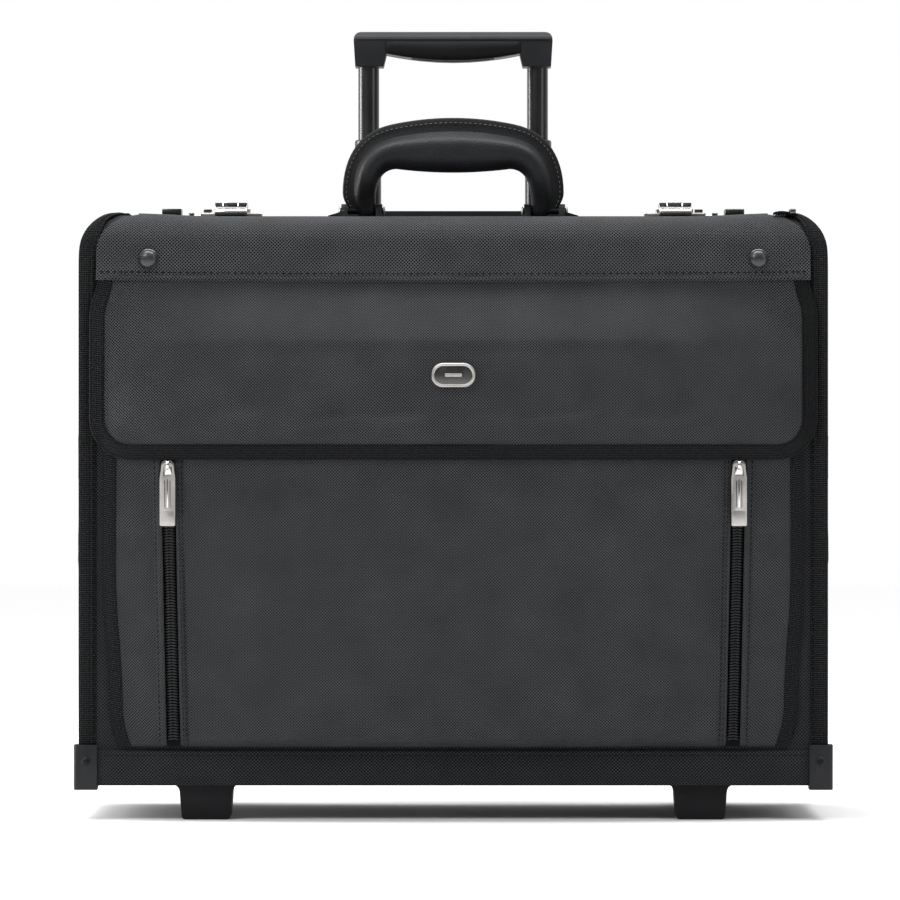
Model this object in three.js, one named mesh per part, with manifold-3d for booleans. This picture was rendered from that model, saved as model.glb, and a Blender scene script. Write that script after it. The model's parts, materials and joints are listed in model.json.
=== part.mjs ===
// Pilot rolling flight case: a soft-sided catalogue case on two wheels and two feet, with a
// telescopic trolley behind it, a two-leaf top, a carry handle and a front organizer pocket.
// Millimetres. X runs to the right, Y to the back, Z up. The case faces -Y and stands on Z = 0.
import * as THREE from 'three';
import { mergeVertices } from 'three/addons/utils/BufferGeometryUtils.js';
import Module from 'manifold-3d';

const wasm = await Module();
wasm.setup();

// ---------------------------------------------------------------- driving dimensions
const GAP = 0.3; // left between pieces that touch
const FAR = 500; // beyond every face, for cutters that run right through

const HALF = 227; // body half width
const FRONT = -78; // front face
const BACK = 84; // back face
const FLOOR = 21; // underside of the body
const TOP = 371; // crown of the body
const WALL = 5; // board, padding and fabric together
const SHOULDER = 25; // radius of the top corners seen from the front
const ROLL = 20; // radius of the front and back top edges
const TAPE = 9; // width of the edge binding on each face

const MOUTH = { half: 198.6, front: -58, back: 64 }; // opening in the top
const LEAF = { top: 370.5, thick: 4.5, slack: 0.8 };
const SPINE = { front: -9, back: 15, top: 370, thick: 6 };

const SKIRT = { top: 43, out: 1.8 };
const GUARD = { leg: 14.5, bottom: 18.5, top: 46, out: 4.5 };
const FOOT = { x: 151, bottom: 30, top: 37, front: -74, back: -48, corner: 3 };
const WHEEL = { x: 157, y: 78, radius: 25, width: 22, bore: 6.6, axle: 3 };
const HOUSING = { half: 16, cheek: 3.5, front: 46, back: 90, bottom: 14, top: 56 };

const POCKET = { half: 214, root: 79.5, bulge: 21.5, skin: 2.5, bottom: 45, top: 296, tuck: 14 };
const ZIP = { top: 173.4, bottom: 170, band: 5.2, head: 216.6 };
const FLAP = { top: 330, bottom: 220, half: 222, corner: 25, lift: 1, thick: 2.8, roll: 22 };
const EMBLEM = { width: 27, height: 15, z: 271, thick: 1.4 };
const VALANCE = { hem: 331, half: 217.4 };
const SNAP = { x: 186, z: 342, radius: 5.8 };

const HANDLE = { y: 3, pivot: 374.8, top: 433, half: 69, leg: 57, legWide: 17, end: 4.4, depth: 11.5 };
const ARCH = { widest: 392, swell: 400, crown: 429, under: 401, belly: 396.5 }; // heights on the handle
const BRACKET = { lug: 4, pin: 2, flange: 78 };
const LOCK = { x: 138, half: 19, front: -6, back: 12, top: 376 };
const HASP = { half: 10, hinge: -15, top: 380.5, reach: 7 };
const CATCH = { x: 176, y: 23, half: 6, tip: 9, top: 376.5 };

const TUBE = { x: 54, y: 94.2, base: 9.2, lower: 8, upper: 6.7, wall: 0.9 };
const STAGE = { base: [63.4, 366], lower: [102, 424], upper: [148, 481] };
const COVER = { half: 78, back: 106.5, bottom: 60, top: 366, skin: 2.2 };
const BEZEL = { half: 72, front: 78, back: 105.5, top: 378 };
const GRIP = { half: 63.5, top: 493, shoe: 470.4, shoeWide: 19, bar: 14.2, belly: 18.8, depth: 22 };
const PULL = { half: 4.7, neck: 3.7, long: 37, over: 1, hole: 2.8 };
const TRIGGER = { half: 26, depth: 11, drop: 0.6, rise: 5.5, room: 10 };

// ---------------------------------------------------------------- shape helpers
function solid(geometry) {
  const bare = geometry.clone();
  bare.deleteAttribute('normal');
  bare.deleteAttribute('uv');
  const merged = mergeVertices(bare, 1e-4);
  const index = [];
  for (let i = 0; i < merged.index.count; i += 3) {
    const [a, b, c] = [0, 1, 2].map((k) => merged.index.getX(i + k));
    if (a !== b && b !== c && c !== a) index.push(a, b, c);
  }
  return new wasm.Manifold(new wasm.Mesh({
    numProp: 3,
    vertProperties: new Float32Array(merged.attributes.position.array),
    triVerts: new Uint32Array(index),
  }));
}

function geometryOf(body) {
  const mesh = body.getMesh();
  const geometry = new THREE.BufferGeometry();
  geometry.setAttribute('position', new THREE.BufferAttribute(mesh.vertProperties, 3));
  geometry.setIndex(new THREE.BufferAttribute(mesh.triVerts, 1));
  return geometry;
}

function mirrored(geometry) {
  const flipped = geometry.clone();
  flipped.scale(-1, 1, 1);
  const index = flipped.index;
  for (let i = 0; i < index.count; i += 3) {
    const first = index.getX(i);
    index.setX(i, index.getX(i + 2));
    index.setX(i + 2, first);
  }
  return flipped;
}

const box = (x0, x1, y0, y1, z0, z1) => solid(new THREE.BoxGeometry(x1 - x0, y1 - y0, z1 - z0)
  .translate((x0 + x1) / 2, (y0 + y1) / 2, (z0 + z1) / 2));

const extrude = (shape, depth) => new THREE.ExtrudeGeometry(shape,
  { depth, bevelEnabled: false, curveSegments: 8 });

// A shape drawn in XY, XZ or YZ, run along the axis that is left.
const alongZ = (shape, z0, z1) => solid(extrude(shape, z1 - z0).translate(0, 0, z0));
const alongY = (shape, y0, y1) => solid(extrude(shape, y1 - y0)
  .rotateX(Math.PI / 2).translate(0, y1, 0));
const YZ_TO_X = new THREE.Matrix4().makeBasis(
  new THREE.Vector3(0, 1, 0), new THREE.Vector3(0, 0, 1), new THREE.Vector3(1, 0, 0));
const alongX = (shape, x0, x1) => solid(extrude(shape, x1 - x0)
  .applyMatrix4(YZ_TO_X).translate(x0, 0, 0));

// Rectangle with its own radius at each corner: lower left, lower right, upper right, upper left.
function roundedRect(u0, u1, v0, v1, [a, b, c, d]) {
  const shape = new THREE.Shape();
  shape.moveTo(u0 + a, v0);
  shape.lineTo(u1 - b, v0);
  if (b) shape.absarc(u1 - b, v0 + b, b, -Math.PI / 2, 0);
  shape.lineTo(u1, v1 - c);
  if (c) shape.absarc(u1 - c, v1 - c, c, 0, Math.PI / 2);
  shape.lineTo(u0 + d, v1);
  if (d) shape.absarc(u0 + d, v1 - d, d, Math.PI / 2, Math.PI);
  shape.lineTo(u0, v0 + a);
  if (a) shape.absarc(u0 + a, v0 + a, a, Math.PI, 1.5 * Math.PI);
  return shape;
}

const polygon = (points) => new THREE.Shape(points.map(([u, v]) => new THREE.Vector2(u, v)));

function rod(radius, from, to, segments = 20) {
  const start = new THREE.Vector3(...from);
  const end = new THREE.Vector3(...to);
  const geometry = new THREE.CylinderGeometry(radius, radius, start.distanceTo(end), segments);
  const turn = new THREE.Quaternion().setFromUnitVectors(
    new THREE.Vector3(0, 1, 0), end.clone().sub(start).normalize());
  return solid(geometry.applyQuaternion(turn).translate(...start.add(end).divideScalar(2).toArray()));
}

// A profile of [radius, height] pairs turned about Z; it starts and ends on the axis, or closes.
const turned = (points, segments = 20) => new THREE.LatheGeometry(
  points.map(([r, h]) => new THREE.Vector2(r, h)), segments).rotateX(Math.PI / 2);

// ---------------------------------------------------------------- materials
const material = (color, roughness, metalness = 0) =>
  new THREE.MeshStandardMaterial({ color, roughness, metalness });
const FABRIC = material(0x202226, 0.9);
const TOPFABRIC = material(0x1d1f22, 0.88);
const LEATHER = material(0x17181a, 0.6);
const WEBBING = material(0x141517, 0.95);
const PLASTIC = material(0x16171a, 0.5);
const RUBBER = material(0x0f1011, 0.85);
const CHROME = material(0xc4c6c9, 0.2, 1);
const PEWTER = material(0x8d8e90, 0.35, 1);
const STEEL = material(0x3a3c40, 0.3, 0.9);

const parts = [];
const add = (name, geometry, finish) => parts.push([name, geometry, finish]);
const one = (name, body, finish) => add(name, geometryOf(body), finish);
// A piece drawn on the right-hand side and repeated, mirrored, on the left.
function pair(name, body, finish) {
  const right = geometryOf(body);
  add(`${name}_right`, right, finish);
  add(`${name}_left`, mirrored(right), finish);
}

// ---------------------------------------------------------------- body shell
const outline = (inset, bottom = FLOOR) => roundedRect(-HALF + inset, HALF - inset, bottom,
  TOP - inset, [0, 0, SHOULDER - inset, SHOULDER - inset]);
const profile = (inset, bottom = FLOOR) => roundedRect(FRONT + inset, BACK - inset, bottom,
  TOP - inset, [0, 0, ROLL - inset, ROLL - inset]);
const block = (inset, bottom = FLOOR) => alongY(outline(inset, bottom), FRONT - 5, BACK + 5)
  .intersect(alongX(profile(inset, bottom), -HALF - 5, HALF + 5));

const housingRoom = box(WHEEL.x - HOUSING.half - GAP, WHEEL.x + HOUSING.half + GAP,
  HOUSING.front - GAP, FAR, 0, HOUSING.top + GAP);
const housingRooms = housingRoom.add(solid(mirrored(geometryOf(housingRoom))));

const shell = block(0)
  .subtract(block(WALL, 0))
  .subtract(box(-MOUTH.half, MOUTH.half, MOUTH.front, MOUTH.back, TOP - 15, FAR))
  .subtract(housingRooms);

const NECK = MOUTH.half + 2.4; // where the side gussets end on the top
const MIDDLE = (FRONT + BACK) / 2;
const frontWall = box(-FAR, FAR, -FAR, FRONT + WALL - GAP / 2, 0, FAR)
  .add(box(-NECK + GAP / 2, NECK - GAP / 2, -FAR, MIDDLE, 0, FAR));
const backWall = box(-FAR, FAR, BACK - WALL + GAP / 2, FAR, 0, FAR)
  .add(box(-NECK + GAP / 2, NECK - GAP / 2, MIDDLE, FAR, 0, FAR));
const mouthBand = box(-MOUTH.half - 5, MOUTH.half + 5, MOUTH.front - 0.1, MOUTH.back + 0.1, TOP - ROLL, FAR);
one('front_panel', shell.intersect(frontWall).subtract(mouthBand), FABRIC);
one('back_panel', shell.intersect(backWall).subtract(mouthBand), FABRIC);
pair('side_panel', shell.intersect(
  box(NECK + GAP / 2, FAR, FRONT + WALL + GAP / 2, BACK - WALL - GAP / 2, 0, FAR)), FABRIC);

one('bottom_panel', box(-HALF + WALL + GAP, HALF - WALL - GAP, FRONT + WALL + GAP,
  BACK - WALL - GAP, FLOOR, FLOOR + 6).subtract(housingRooms), FABRIC);

// The skirt runs round the foot of the body; the wheel housings part its rear stretch from the rest.
const skirt = box(-HALF - SKIRT.out, HALF + SKIRT.out, FRONT - SKIRT.out, BACK + SKIRT.out,
  FLOOR, SKIRT.top)
  .subtract(box(-HALF - GAP, HALF + GAP, FRONT - GAP, BACK + GAP, 0, FAR))
  .subtract(housingRooms);
const rearStretch = box(-WHEEL.x, WHEEL.x, BACK, FAR, 0, FAR);
one('base_skirt', skirt.subtract(rearStretch), WEBBING);
one('base_skirt_rear', skirt.intersect(rearStretch), WEBBING);

// Webbing bound over the seam between each side gusset and the front, top and back.
const seamLayer = block(-1.5).subtract(block(-GAP, 0))
  .subtract(alongY(outline(TAPE, 0), -FAR, FAR))
  .subtract(alongX(profile(TAPE, 0), -FAR, FAR))
  .intersect(box(MOUTH.half + GAP, FAR, -FAR, FAR, GUARD.top + GAP, FAR))
  .subtract(box(NECK + TAPE, FAR, FRONT + TAPE, BACK - TAPE, 0, FAR));
pair('edge_binding', seamLayer, WEBBING);

// ---------------------------------------------------------------- corner guards, feet, wheels
function cornerGuard(y, facing) {
  const out = facing * GUARD.out;
  const inner = y - facing * (GUARD.leg - GUARD.out);
  const [low, high] = [Math.min(y + out, inner), Math.max(y + out, inner)];
  const radii = facing < 0 ? [0, 3, 0, 0] : [0, 0, 3, 0];
  const skin = y + facing * (SKIRT.out + GAP);
  const rivet = solid(turned([[0, 0], [2.8, 0], [2.8, 0.8], [1.6, 1.7], [0, 2]], 16)
    .rotateX(facing < 0 ? Math.PI / 2 : -Math.PI / 2)
    .translate(HALF - 3, y + facing * (GUARD.out - 0.2), GUARD.top - 10));
  return alongZ(roundedRect(HALF + GUARD.out - GUARD.leg, HALF + GUARD.out, low, high, radii),
    GUARD.bottom, GUARD.top)
    .subtract(box(0, HALF + SKIRT.out + GAP, Math.min(skin, skin - facing * 60),
      Math.max(skin, skin - facing * 60), FLOOR - GAP, FAR))
    .add(rivet);
}
pair('front_corner_guard', cornerGuard(FRONT, -1), PLASTIC);
pair('rear_corner_guard', cornerGuard(BACK, 1), PLASTIC);

const footLow = FOOT.bottom / 2;
const footWide = footLow + 1;
const foot = new THREE.Shape();
foot.moveTo(FOOT.x - footLow + FOOT.corner, 0);
foot.lineTo(FOOT.x + footLow - FOOT.corner, 0);
foot.quadraticCurveTo(FOOT.x + footLow, 0, FOOT.x + footLow, FOOT.corner);
foot.lineTo(FOOT.x + footWide, FLOOR - 6);
foot.quadraticCurveTo(FOOT.x + footWide, FLOOR - 1.5, FOOT.x + FOOT.top / 2, FLOOR - GAP);
foot.lineTo(FOOT.x - FOOT.top / 2, FLOOR - GAP);
foot.quadraticCurveTo(FOOT.x - footWide, FLOOR - 1.5, FOOT.x - footWide, FLOOR - 6);
foot.lineTo(FOOT.x - footLow, FOOT.corner);
foot.quadraticCurveTo(FOOT.x - footLow, 0, FOOT.x - footLow + FOOT.corner, 0);
pair('front_foot', alongY(foot, FOOT.front, FOOT.back), RUBBER);

const wheelAt = (half) => [[WHEEL.x - half, WHEEL.y, WHEEL.radius], [WHEEL.x + half, WHEEL.y, WHEEL.radius]];
const well = HOUSING.half - HOUSING.cheek;
pair('wheel_housing', box(WHEEL.x - HOUSING.half, WHEEL.x + HOUSING.half, HOUSING.front,
  HOUSING.back, HOUSING.bottom, HOUSING.top)
  .subtract(rod(WHEEL.radius + 2.5, ...wheelAt(well), 32))
  .subtract(box(WHEEL.x - well, WHEEL.x + well, WHEEL.y, FAR, 0, WHEEL.radius + 20))
  .subtract(rod(WHEEL.axle + GAP, ...wheelAt(HOUSING.half + 1))), PLASTIC);
pair('wheel_axle', rod(WHEEL.axle, ...wheelAt(HOUSING.half - 0.4)), STEEL);

const [rim, cheek] = [WHEEL.radius, WHEEL.width / 2];
const tyre = turned([[WHEEL.bore / 2, -cheek], [18, -cheek + 1], [rim - 3, -cheek], [rim, -cheek + 3],
  [rim, cheek - 3], [rim - 3, cheek], [18, cheek - 1], [WHEEL.bore / 2, cheek], [WHEEL.bore / 2, -cheek]], 28)
  .rotateY(Math.PI / 2).translate(WHEEL.x, WHEEL.y, WHEEL.radius);
pair('wheel', solid(tyre), RUBBER);

// ---------------------------------------------------------------- top: spine, leaves, locks
one('centre_spine', box(-MOUTH.half + GAP, MOUTH.half - GAP, SPINE.front, SPINE.back,
  SPINE.top - SPINE.thick, SPINE.top), TOPFABRIC);
one('front_leaf', alongX(roundedRect(MOUTH.front + GAP, SPINE.front - LEAF.slack, LEAF.top - LEAF.thick,
  LEAF.top, [1, 1, 1, 1]), -MOUTH.half + GAP, MOUTH.half - GAP), TOPFABRIC);
one('rear_leaf', alongX(roundedRect(SPINE.back + LEAF.slack, MOUTH.back - GAP, LEAF.top - LEAF.thick,
  LEAF.top, [1, 1, 1, 1]), -MOUTH.half + GAP, MOUTH.half - GAP), TOPFABRIC);

const lockBase = LEAF.top + GAP;
const lockBody = box(LOCK.x - LOCK.half, LOCK.x + LOCK.half, LOCK.front, LOCK.back,
  SPINE.top + GAP, lockBase + 2.2)
  .add(box(LOCK.x - 11.5, LOCK.x + 11.5, LOCK.front + 2, LOCK.back - 2, lockBase, LOCK.top))
  .add(box(LOCK.x + 12, LOCK.x + LOCK.half, LOCK.front + 3, LOCK.back - 3, lockBase, LOCK.top - 2.5));
pair('lock_body', lockBody, CHROME);
const hasp = alongX(polygon([
  [HASP.hinge - 1, lockBase + 0.4], [HASP.hinge + 2.6, lockBase + 0.4], [HASP.hinge + 4, HASP.top - 3.6],
  [HASP.reach, HASP.top - 3.9], [HASP.reach, HASP.top - 2], [HASP.reach - 4, HASP.top - 1.2],
  [HASP.hinge + 3, HASP.top - 1.2], [HASP.hinge + 0.5, HASP.top - 4]]),
LOCK.x - HASP.half, LOCK.x + HASP.half)
  .add(rod(2.4, [LOCK.x - HASP.half, HASP.hinge, lockBase + 2.5],
    [LOCK.x + HASP.half, HASP.hinge, lockBase + 2.5], 16))
  .add(box(LOCK.x - 5, LOCK.x + 5, HASP.reach - 6, HASP.reach - 4, HASP.top - 3, HASP.top));
pair('lock_hasp', hasp, CHROME);
pair('lock_slide', box(LOCK.x + 12.6, LOCK.x + 17.6, LOCK.front + 5, LOCK.back - 5,
  LOCK.top - 2.5 + GAP, LOCK.top - 0.2), PEWTER);
pair('rear_catch', rod(4, [CATCH.x, CATCH.y, lockBase], [CATCH.x, CATCH.y, CATCH.top - 2], 20)
  .add(box(CATCH.x - CATCH.half, CATCH.x + CATCH.half, CATCH.tip, CATCH.y + 5,
    CATCH.top - 4, CATCH.top)), PEWTER);

// ---------------------------------------------------------------- carry handle
const legIn = HANDLE.leg - HANDLE.legWide / 2;
const legOut = HANDLE.leg + HANDLE.legWide / 2;
const legEnd = HANDLE.pivot - HANDLE.end;
const arch = new THREE.Shape();
arch.moveTo(legIn, legEnd);
arch.lineTo(legOut, legEnd);
arch.lineTo(legOut, HANDLE.pivot + 6);
arch.bezierCurveTo(legOut + 0.5, ARCH.widest - 6, HANDLE.half, ARCH.widest - 6, HANDLE.half, ARCH.widest);
arch.bezierCurveTo(HANDLE.half, ARCH.widest + 16, 60, ARCH.crown - 4.5, 38, ARCH.crown);
arch.quadraticCurveTo(0, HANDLE.top + 4, -38, ARCH.crown);
arch.bezierCurveTo(-60, ARCH.crown - 4.5, -HANDLE.half, ARCH.widest + 16, -HANDLE.half, ARCH.widest);
arch.bezierCurveTo(-HANDLE.half, ARCH.widest - 6, -legOut - 0.5, ARCH.widest - 6,
  -legOut, HANDLE.pivot + 6);
arch.lineTo(-legOut, legEnd);
arch.lineTo(-legIn, legEnd);
arch.lineTo(-legIn, ARCH.under - 18);
arch.quadraticCurveTo(-legIn + 1, ARCH.under - 0.5, -legIn + 13, ARCH.under);
arch.quadraticCurveTo(0, ARCH.belly, legIn - 13, ARCH.under);
arch.quadraticCurveTo(legIn - 1, ARCH.under - 0.5, legIn, ARCH.under - 18);
arch.lineTo(legIn, legEnd);
const [near, far] = [HANDLE.y - HANDLE.depth, HANDLE.y + HANDLE.depth];
const section = new THREE.Shape();
section.absarc(HANDLE.y, HANDLE.pivot, HANDLE.end, Math.PI, 2 * Math.PI);
section.bezierCurveTo(HANDLE.y + 6, ARCH.swell - 14, far, ARCH.swell - 12, far, ARCH.swell);
section.lineTo(far, HANDLE.top - 15);
section.quadraticCurveTo(far, HANDLE.top, HANDLE.y, HANDLE.top);
section.quadraticCurveTo(near, HANDLE.top, near, HANDLE.top - 15);
section.lineTo(near, ARCH.swell);
section.bezierCurveTo(near, ARCH.swell - 12, HANDLE.y - 6, ARCH.swell - 14,
  HANDLE.y - HANDLE.end, HANDLE.pivot);
const pinLine = (x0, x1) => [[x0, HANDLE.y, HANDLE.pivot], [x1, HANDLE.y, HANDLE.pivot]];
one('carry_handle', alongY(arch, -FAR, FAR).intersect(alongX(section, -FAR, FAR))
  .subtract(rod(BRACKET.pin + GAP, ...pinLine(-100, 100), 20)), LEATHER);

const lugShape = new THREE.Shape();
lugShape.moveTo(HANDLE.y - 8, SPINE.top + GAP);
lugShape.lineTo(HANDLE.y + 8, SPINE.top + GAP);
lugShape.lineTo(HANDLE.y + 4.2, HANDLE.pivot + 1.5);
lugShape.absarc(HANDLE.y, HANDLE.pivot, 4.4, 0.3, Math.PI - 0.3);
lugShape.lineTo(HANDLE.y - 8, SPINE.top + GAP);
const lug = (x0) => alongX(lugShape, x0, x0 + BRACKET.lug);
const bracket = lug(legIn - GAP - BRACKET.lug).add(lug(legOut + GAP))
  .add(alongY(polygon([[legOut + GAP + 2, SPINE.top + GAP], [BRACKET.flange, SPINE.top + GAP],
    [BRACKET.flange, SPINE.top + 1.8], [legOut + GAP + 3, SPINE.top + 4.5]]), HANDLE.y - 6, HANDLE.y + 6))
  .add(rod(BRACKET.pin, ...pinLine(legIn - GAP - BRACKET.lug - 0.8, legOut + GAP + BRACKET.lug + 0.8), 20));
pair('handle_bracket', bracket, PLASTIC);

// ---------------------------------------------------------------- trolley
const tubeAt = ([z0, z1], x = TUBE.x) => [[x, TUBE.y, z0], [x, TUBE.y, z1]];
const hollow = (outer, inner, span) => rod(outer, ...tubeAt(span))
  .subtract(rod(inner, ...tubeAt([span[0] - 1, span[1] + 1])));
pair('base_tube', hollow(TUBE.base, TUBE.base - TUBE.wall, STAGE.base), STEEL);
pair('lower_tube', hollow(TUBE.lower, TUBE.lower - TUBE.wall - 0.1, STAGE.lower)
  .add(hollow(TUBE.lower + 0.9, TUBE.lower - 0.5, [STAGE.lower[1] - 8, STAGE.lower[1]])), STEEL);
pair('upper_tube', hollow(TUBE.upper, TUBE.upper - TUBE.wall, STAGE.upper), STEEL);

const coverShape = (grow, open) => roundedRect(-COVER.half + grow, COVER.half - grow,
  BACK + GAP - open, COVER.back - grow, [0, 0, 9 - grow, 9 - grow]);
one('trolley_cover', alongZ(coverShape(0, 0), COVER.bottom, COVER.top)
  .subtract(alongZ(coverShape(COVER.skin, 5), COVER.bottom + 3, COVER.top + 5)), FABRIC);

const bezelHoles = rod(TUBE.lower + GAP, ...tubeAt([0, FAR]))
  .add(rod(TUBE.lower + GAP, ...tubeAt([0, FAR], -TUBE.x)));
one('trolley_bezel', alongZ(roundedRect(-BEZEL.half, BEZEL.half, BEZEL.front, BEZEL.back,
  [3, 3, 8, 8]), COVER.top + GAP, BEZEL.top).subtract(block(-GAP, 0)).subtract(bezelHoles), PLASTIC);

const barEnd = GRIP.top - GRIP.bar;
const barLow = GRIP.top - GRIP.belly;
const shoeIn = GRIP.half - GRIP.shoeWide;
const gripShape = new THREE.Shape();
gripShape.moveTo(shoeIn, GRIP.shoe);
gripShape.lineTo(GRIP.half - 1, GRIP.shoe);
gripShape.lineTo(GRIP.half, GRIP.top - 6);
gripShape.quadraticCurveTo(GRIP.half, GRIP.top, GRIP.half - 6, GRIP.top);
gripShape.lineTo(-GRIP.half + 6, GRIP.top);
gripShape.quadraticCurveTo(-GRIP.half, GRIP.top, -GRIP.half, GRIP.top - 6);
gripShape.lineTo(-GRIP.half + 1, GRIP.shoe);
gripShape.lineTo(-shoeIn, GRIP.shoe);
gripShape.lineTo(-shoeIn + 2, barEnd);
gripShape.quadraticCurveTo(0, 2 * barLow - barEnd, shoeIn - 2, barEnd);
const triggerBlock = (grow, z0, z1) => box(-TRIGGER.half - grow, TRIGGER.half + grow,
  TUBE.y - TRIGGER.depth / 2 - grow, TUBE.y + TRIGGER.depth / 2 + grow, z0, z1);
const socket = [0, STAGE.upper[1] + GAP];
const gripBar = alongY(gripShape, TUBE.y - GRIP.depth / 2, TUBE.y + GRIP.depth / 2);
one('trolley_grip', gripBar.intersect(alongX(roundedRect(TUBE.y - GRIP.depth / 2,
  TUBE.y + GRIP.depth / 2, GRIP.shoe - 1, GRIP.top, [2, 2, 7, 7]), -FAR, FAR))
  .subtract(rod(TUBE.upper + GAP, ...tubeAt(socket)))
  .subtract(rod(TUBE.upper + GAP, ...tubeAt(socket, -TUBE.x)))
  .subtract(triggerBlock(GAP, 0, barLow + TRIGGER.room)), PLASTIC);
one('release_trigger', triggerBlock(0, 0, barLow + TRIGGER.rise)
  .intersect(gripBar.translate([0, 0, -TRIGGER.drop])), PLASTIC);

// ---------------------------------------------------------------- front organizer pocket
const pocketDepth = (x) => POCKET.root + POCKET.bulge
  * Math.max(0, 1 - Math.abs(x / POCKET.half) ** 3) ** 0.75;

// The bulged front seen from above, standing `lift` proud of the pocket skin.
function bulgeShape(half, lift, steps = 26) {
  const points = [[half, FRONT + 4]];
  for (let i = 0; i <= steps; i += 1) {
    const x = half * Math.cos((Math.PI * i) / steps);
    points.push([x, -pocketDepth(x) - lift]);
  }
  points.push([-half, FRONT + 4]);
  return polygon(points.reverse());
}

const tuck = (lift) => roundedRect(-POCKET.root - POCKET.bulge - lift, 0,
  POCKET.bottom - lift, FAR, [POCKET.tuck + lift, 0, 0, 0]);
const pocketSkin = alongZ(bulgeShape(POCKET.half, 0), POCKET.bottom, POCKET.top)
  .intersect(alongX(tuck(0), -FAR, FAR))
  .subtract(alongZ(bulgeShape(POCKET.half - POCKET.skin, -POCKET.skin), POCKET.bottom, FAR)
    .intersect(alongX(tuck(-POCKET.skin), -FAR, FAR)))
  .subtract(box(-FAR, FAR, FRONT - GAP, FAR, 0, FAR));

const zipLine = (z) => ZIP.bottom
  + ((ZIP.top - ZIP.bottom) * (z - POCKET.bottom)) / (ZIP.head - POCKET.bottom);
// What lies between two slanting lines, each given by its x at the foot and at FAR.
const between = ([low0, high0], [low1, high1]) => alongY(polygon([
  [low0, 0], [low1, 0], [high1, FAR], [high0, FAR]]), -FAR, 0);
const offZip = (offset, side = 1) => [0, FAR].map((z) => side * (zipLine(z) + offset));
one('organizer_panel', pocketSkin.intersect(between(offZip(-ZIP.band, -1), offZip(-ZIP.band))), FABRIC);
pair('zip_tape', pocketSkin.intersect(between(offZip(GAP - ZIP.band), offZip(ZIP.band - GAP))), WEBBING);
pair('organizer_gusset', pocketSkin.intersect(between(offZip(ZIP.band), offZip(100))), FABRIC);

const zipX = zipLine(ZIP.head);
const sliderBack = -pocketDepth(zipX - 4.5) - 0.6;
const bail = { y: sliderBack - 4.2, z: ZIP.head };
const ring = new THREE.Shape();
ring.absarc(bail.y, bail.z, 2.9, 0, 2 * Math.PI);
const ringHole = new THREE.Path();
ringHole.absarc(bail.y, bail.z, 1.7, 0, 2 * Math.PI);
ring.holes.push(ringHole);
pair('zip_slider', alongY(roundedRect(zipX - 4, zipX + 4, ZIP.head - 9, ZIP.head + 2.8,
  [1.5, 1.5, 3, 3]), sliderBack - 2.6, sliderBack).add(alongX(ring, zipX - 0.7, zipX + 0.7)), PEWTER);

const [tabLow, tabHigh] = [bail.z + PULL.over - PULL.long - 1, bail.z + PULL.over];
const tab = new THREE.Shape();
tab.moveTo(zipX - PULL.half + 1, tabLow);
tab.lineTo(zipX + PULL.half - 1, tabLow);
tab.absarc(zipX + PULL.half - 1, tabLow + 1, 1, -Math.PI / 2, 0);
tab.lineTo(zipX + PULL.half, tabHigh - 9);
tab.lineTo(zipX + PULL.neck, tabHigh - 2);
tab.quadraticCurveTo(zipX + PULL.neck, tabHigh, zipX + PULL.neck - 2, tabHigh);
tab.lineTo(zipX - PULL.neck + 2, tabHigh);
tab.quadraticCurveTo(zipX - PULL.neck, tabHigh, zipX - PULL.neck, tabHigh - 2);
tab.lineTo(zipX - PULL.half, tabHigh - 9);
tab.lineTo(zipX - PULL.half, tabLow + 1);
tab.absarc(zipX - PULL.half + 1, tabLow + 1, 1, Math.PI, 1.5 * Math.PI);
tab.holes.push(new THREE.Path([[-1, -6.3], [1, -6.3], [1, -0.9], [-1, -0.9]]
  .map(([u, v]) => new THREE.Vector2(zipX + u * PULL.hole, bail.z + v))));
pair('pull_tab', alongY(tab, bail.y - 0.7, bail.y + 0.7), PEWTER);

// Flap: a thin skin that follows the pocket and tucks under the valance.
const flapSide = (lift) => {
  const front = -POCKET.root - POCKET.bulge - lift;
  return roundedRect(front, 0, 0, FLAP.top - 2.6 + lift, [0, 0, 0, FLAP.roll]);
};
const flapBlock = (lift) => alongZ(bulgeShape(FLAP.half, lift, 30), 0, FAR)
  .intersect(alongX(flapSide(lift), -FAR, FAR));
const flapOutline = roundedRect(-FLAP.half, FLAP.half, FLAP.bottom, FLAP.top + 5,
  [FLAP.corner, FLAP.corner, 0, 0]);
const flapCurl = FLAP.lift + FLAP.thick;
one('pocket_flap', flapBlock(flapCurl).subtract(flapBlock(FLAP.lift))
  .intersect(alongY(flapOutline, -FAR, FRONT - 2.6)), FABRIC);
one('emblem_plate', alongY(roundedRect(-EMBLEM.width / 2, EMBLEM.width / 2,
  EMBLEM.z - EMBLEM.height / 2, EMBLEM.z + EMBLEM.height / 2, [7, 7, 7, 7]),
-pocketDepth(0) - flapCurl - GAP - EMBLEM.thick, -pocketDepth(0) - flapCurl - GAP), PEWTER);

one('front_valance', alongX(profile(-1.8), -VALANCE.half, VALANCE.half)
  .subtract(alongX(profile(-GAP, 0), -FAR, FAR))
  .intersect(alongY(outline(TAPE + 0.6, 0), -FAR, 0))
  .intersect(box(-VALANCE.half, VALANCE.half, -FAR, FRONT + 3, VALANCE.hem, FAR)), TOPFABRIC);
pair('snap_cap', solid(turned([[0, 0], [SNAP.radius, 0], [SNAP.radius, 0.8], [SNAP.radius - 1.5, 2.2],
  [2.4, 3], [0, 3.2]]).rotateX(Math.PI / 2).translate(SNAP.x, FRONT - 2.1, SNAP.z)), STEEL);

// ---------------------------------------------------------------- the assembly
const group = new THREE.Group();
group.name = 'pilot_rolling_flight_case';
for (const [name, geometry, finish] of parts) {
  geometry.computeVertexNormals();
  const mesh = new THREE.Mesh(geometry, finish);
  mesh.name = name;
  group.add(mesh);
}
export default group;
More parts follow.
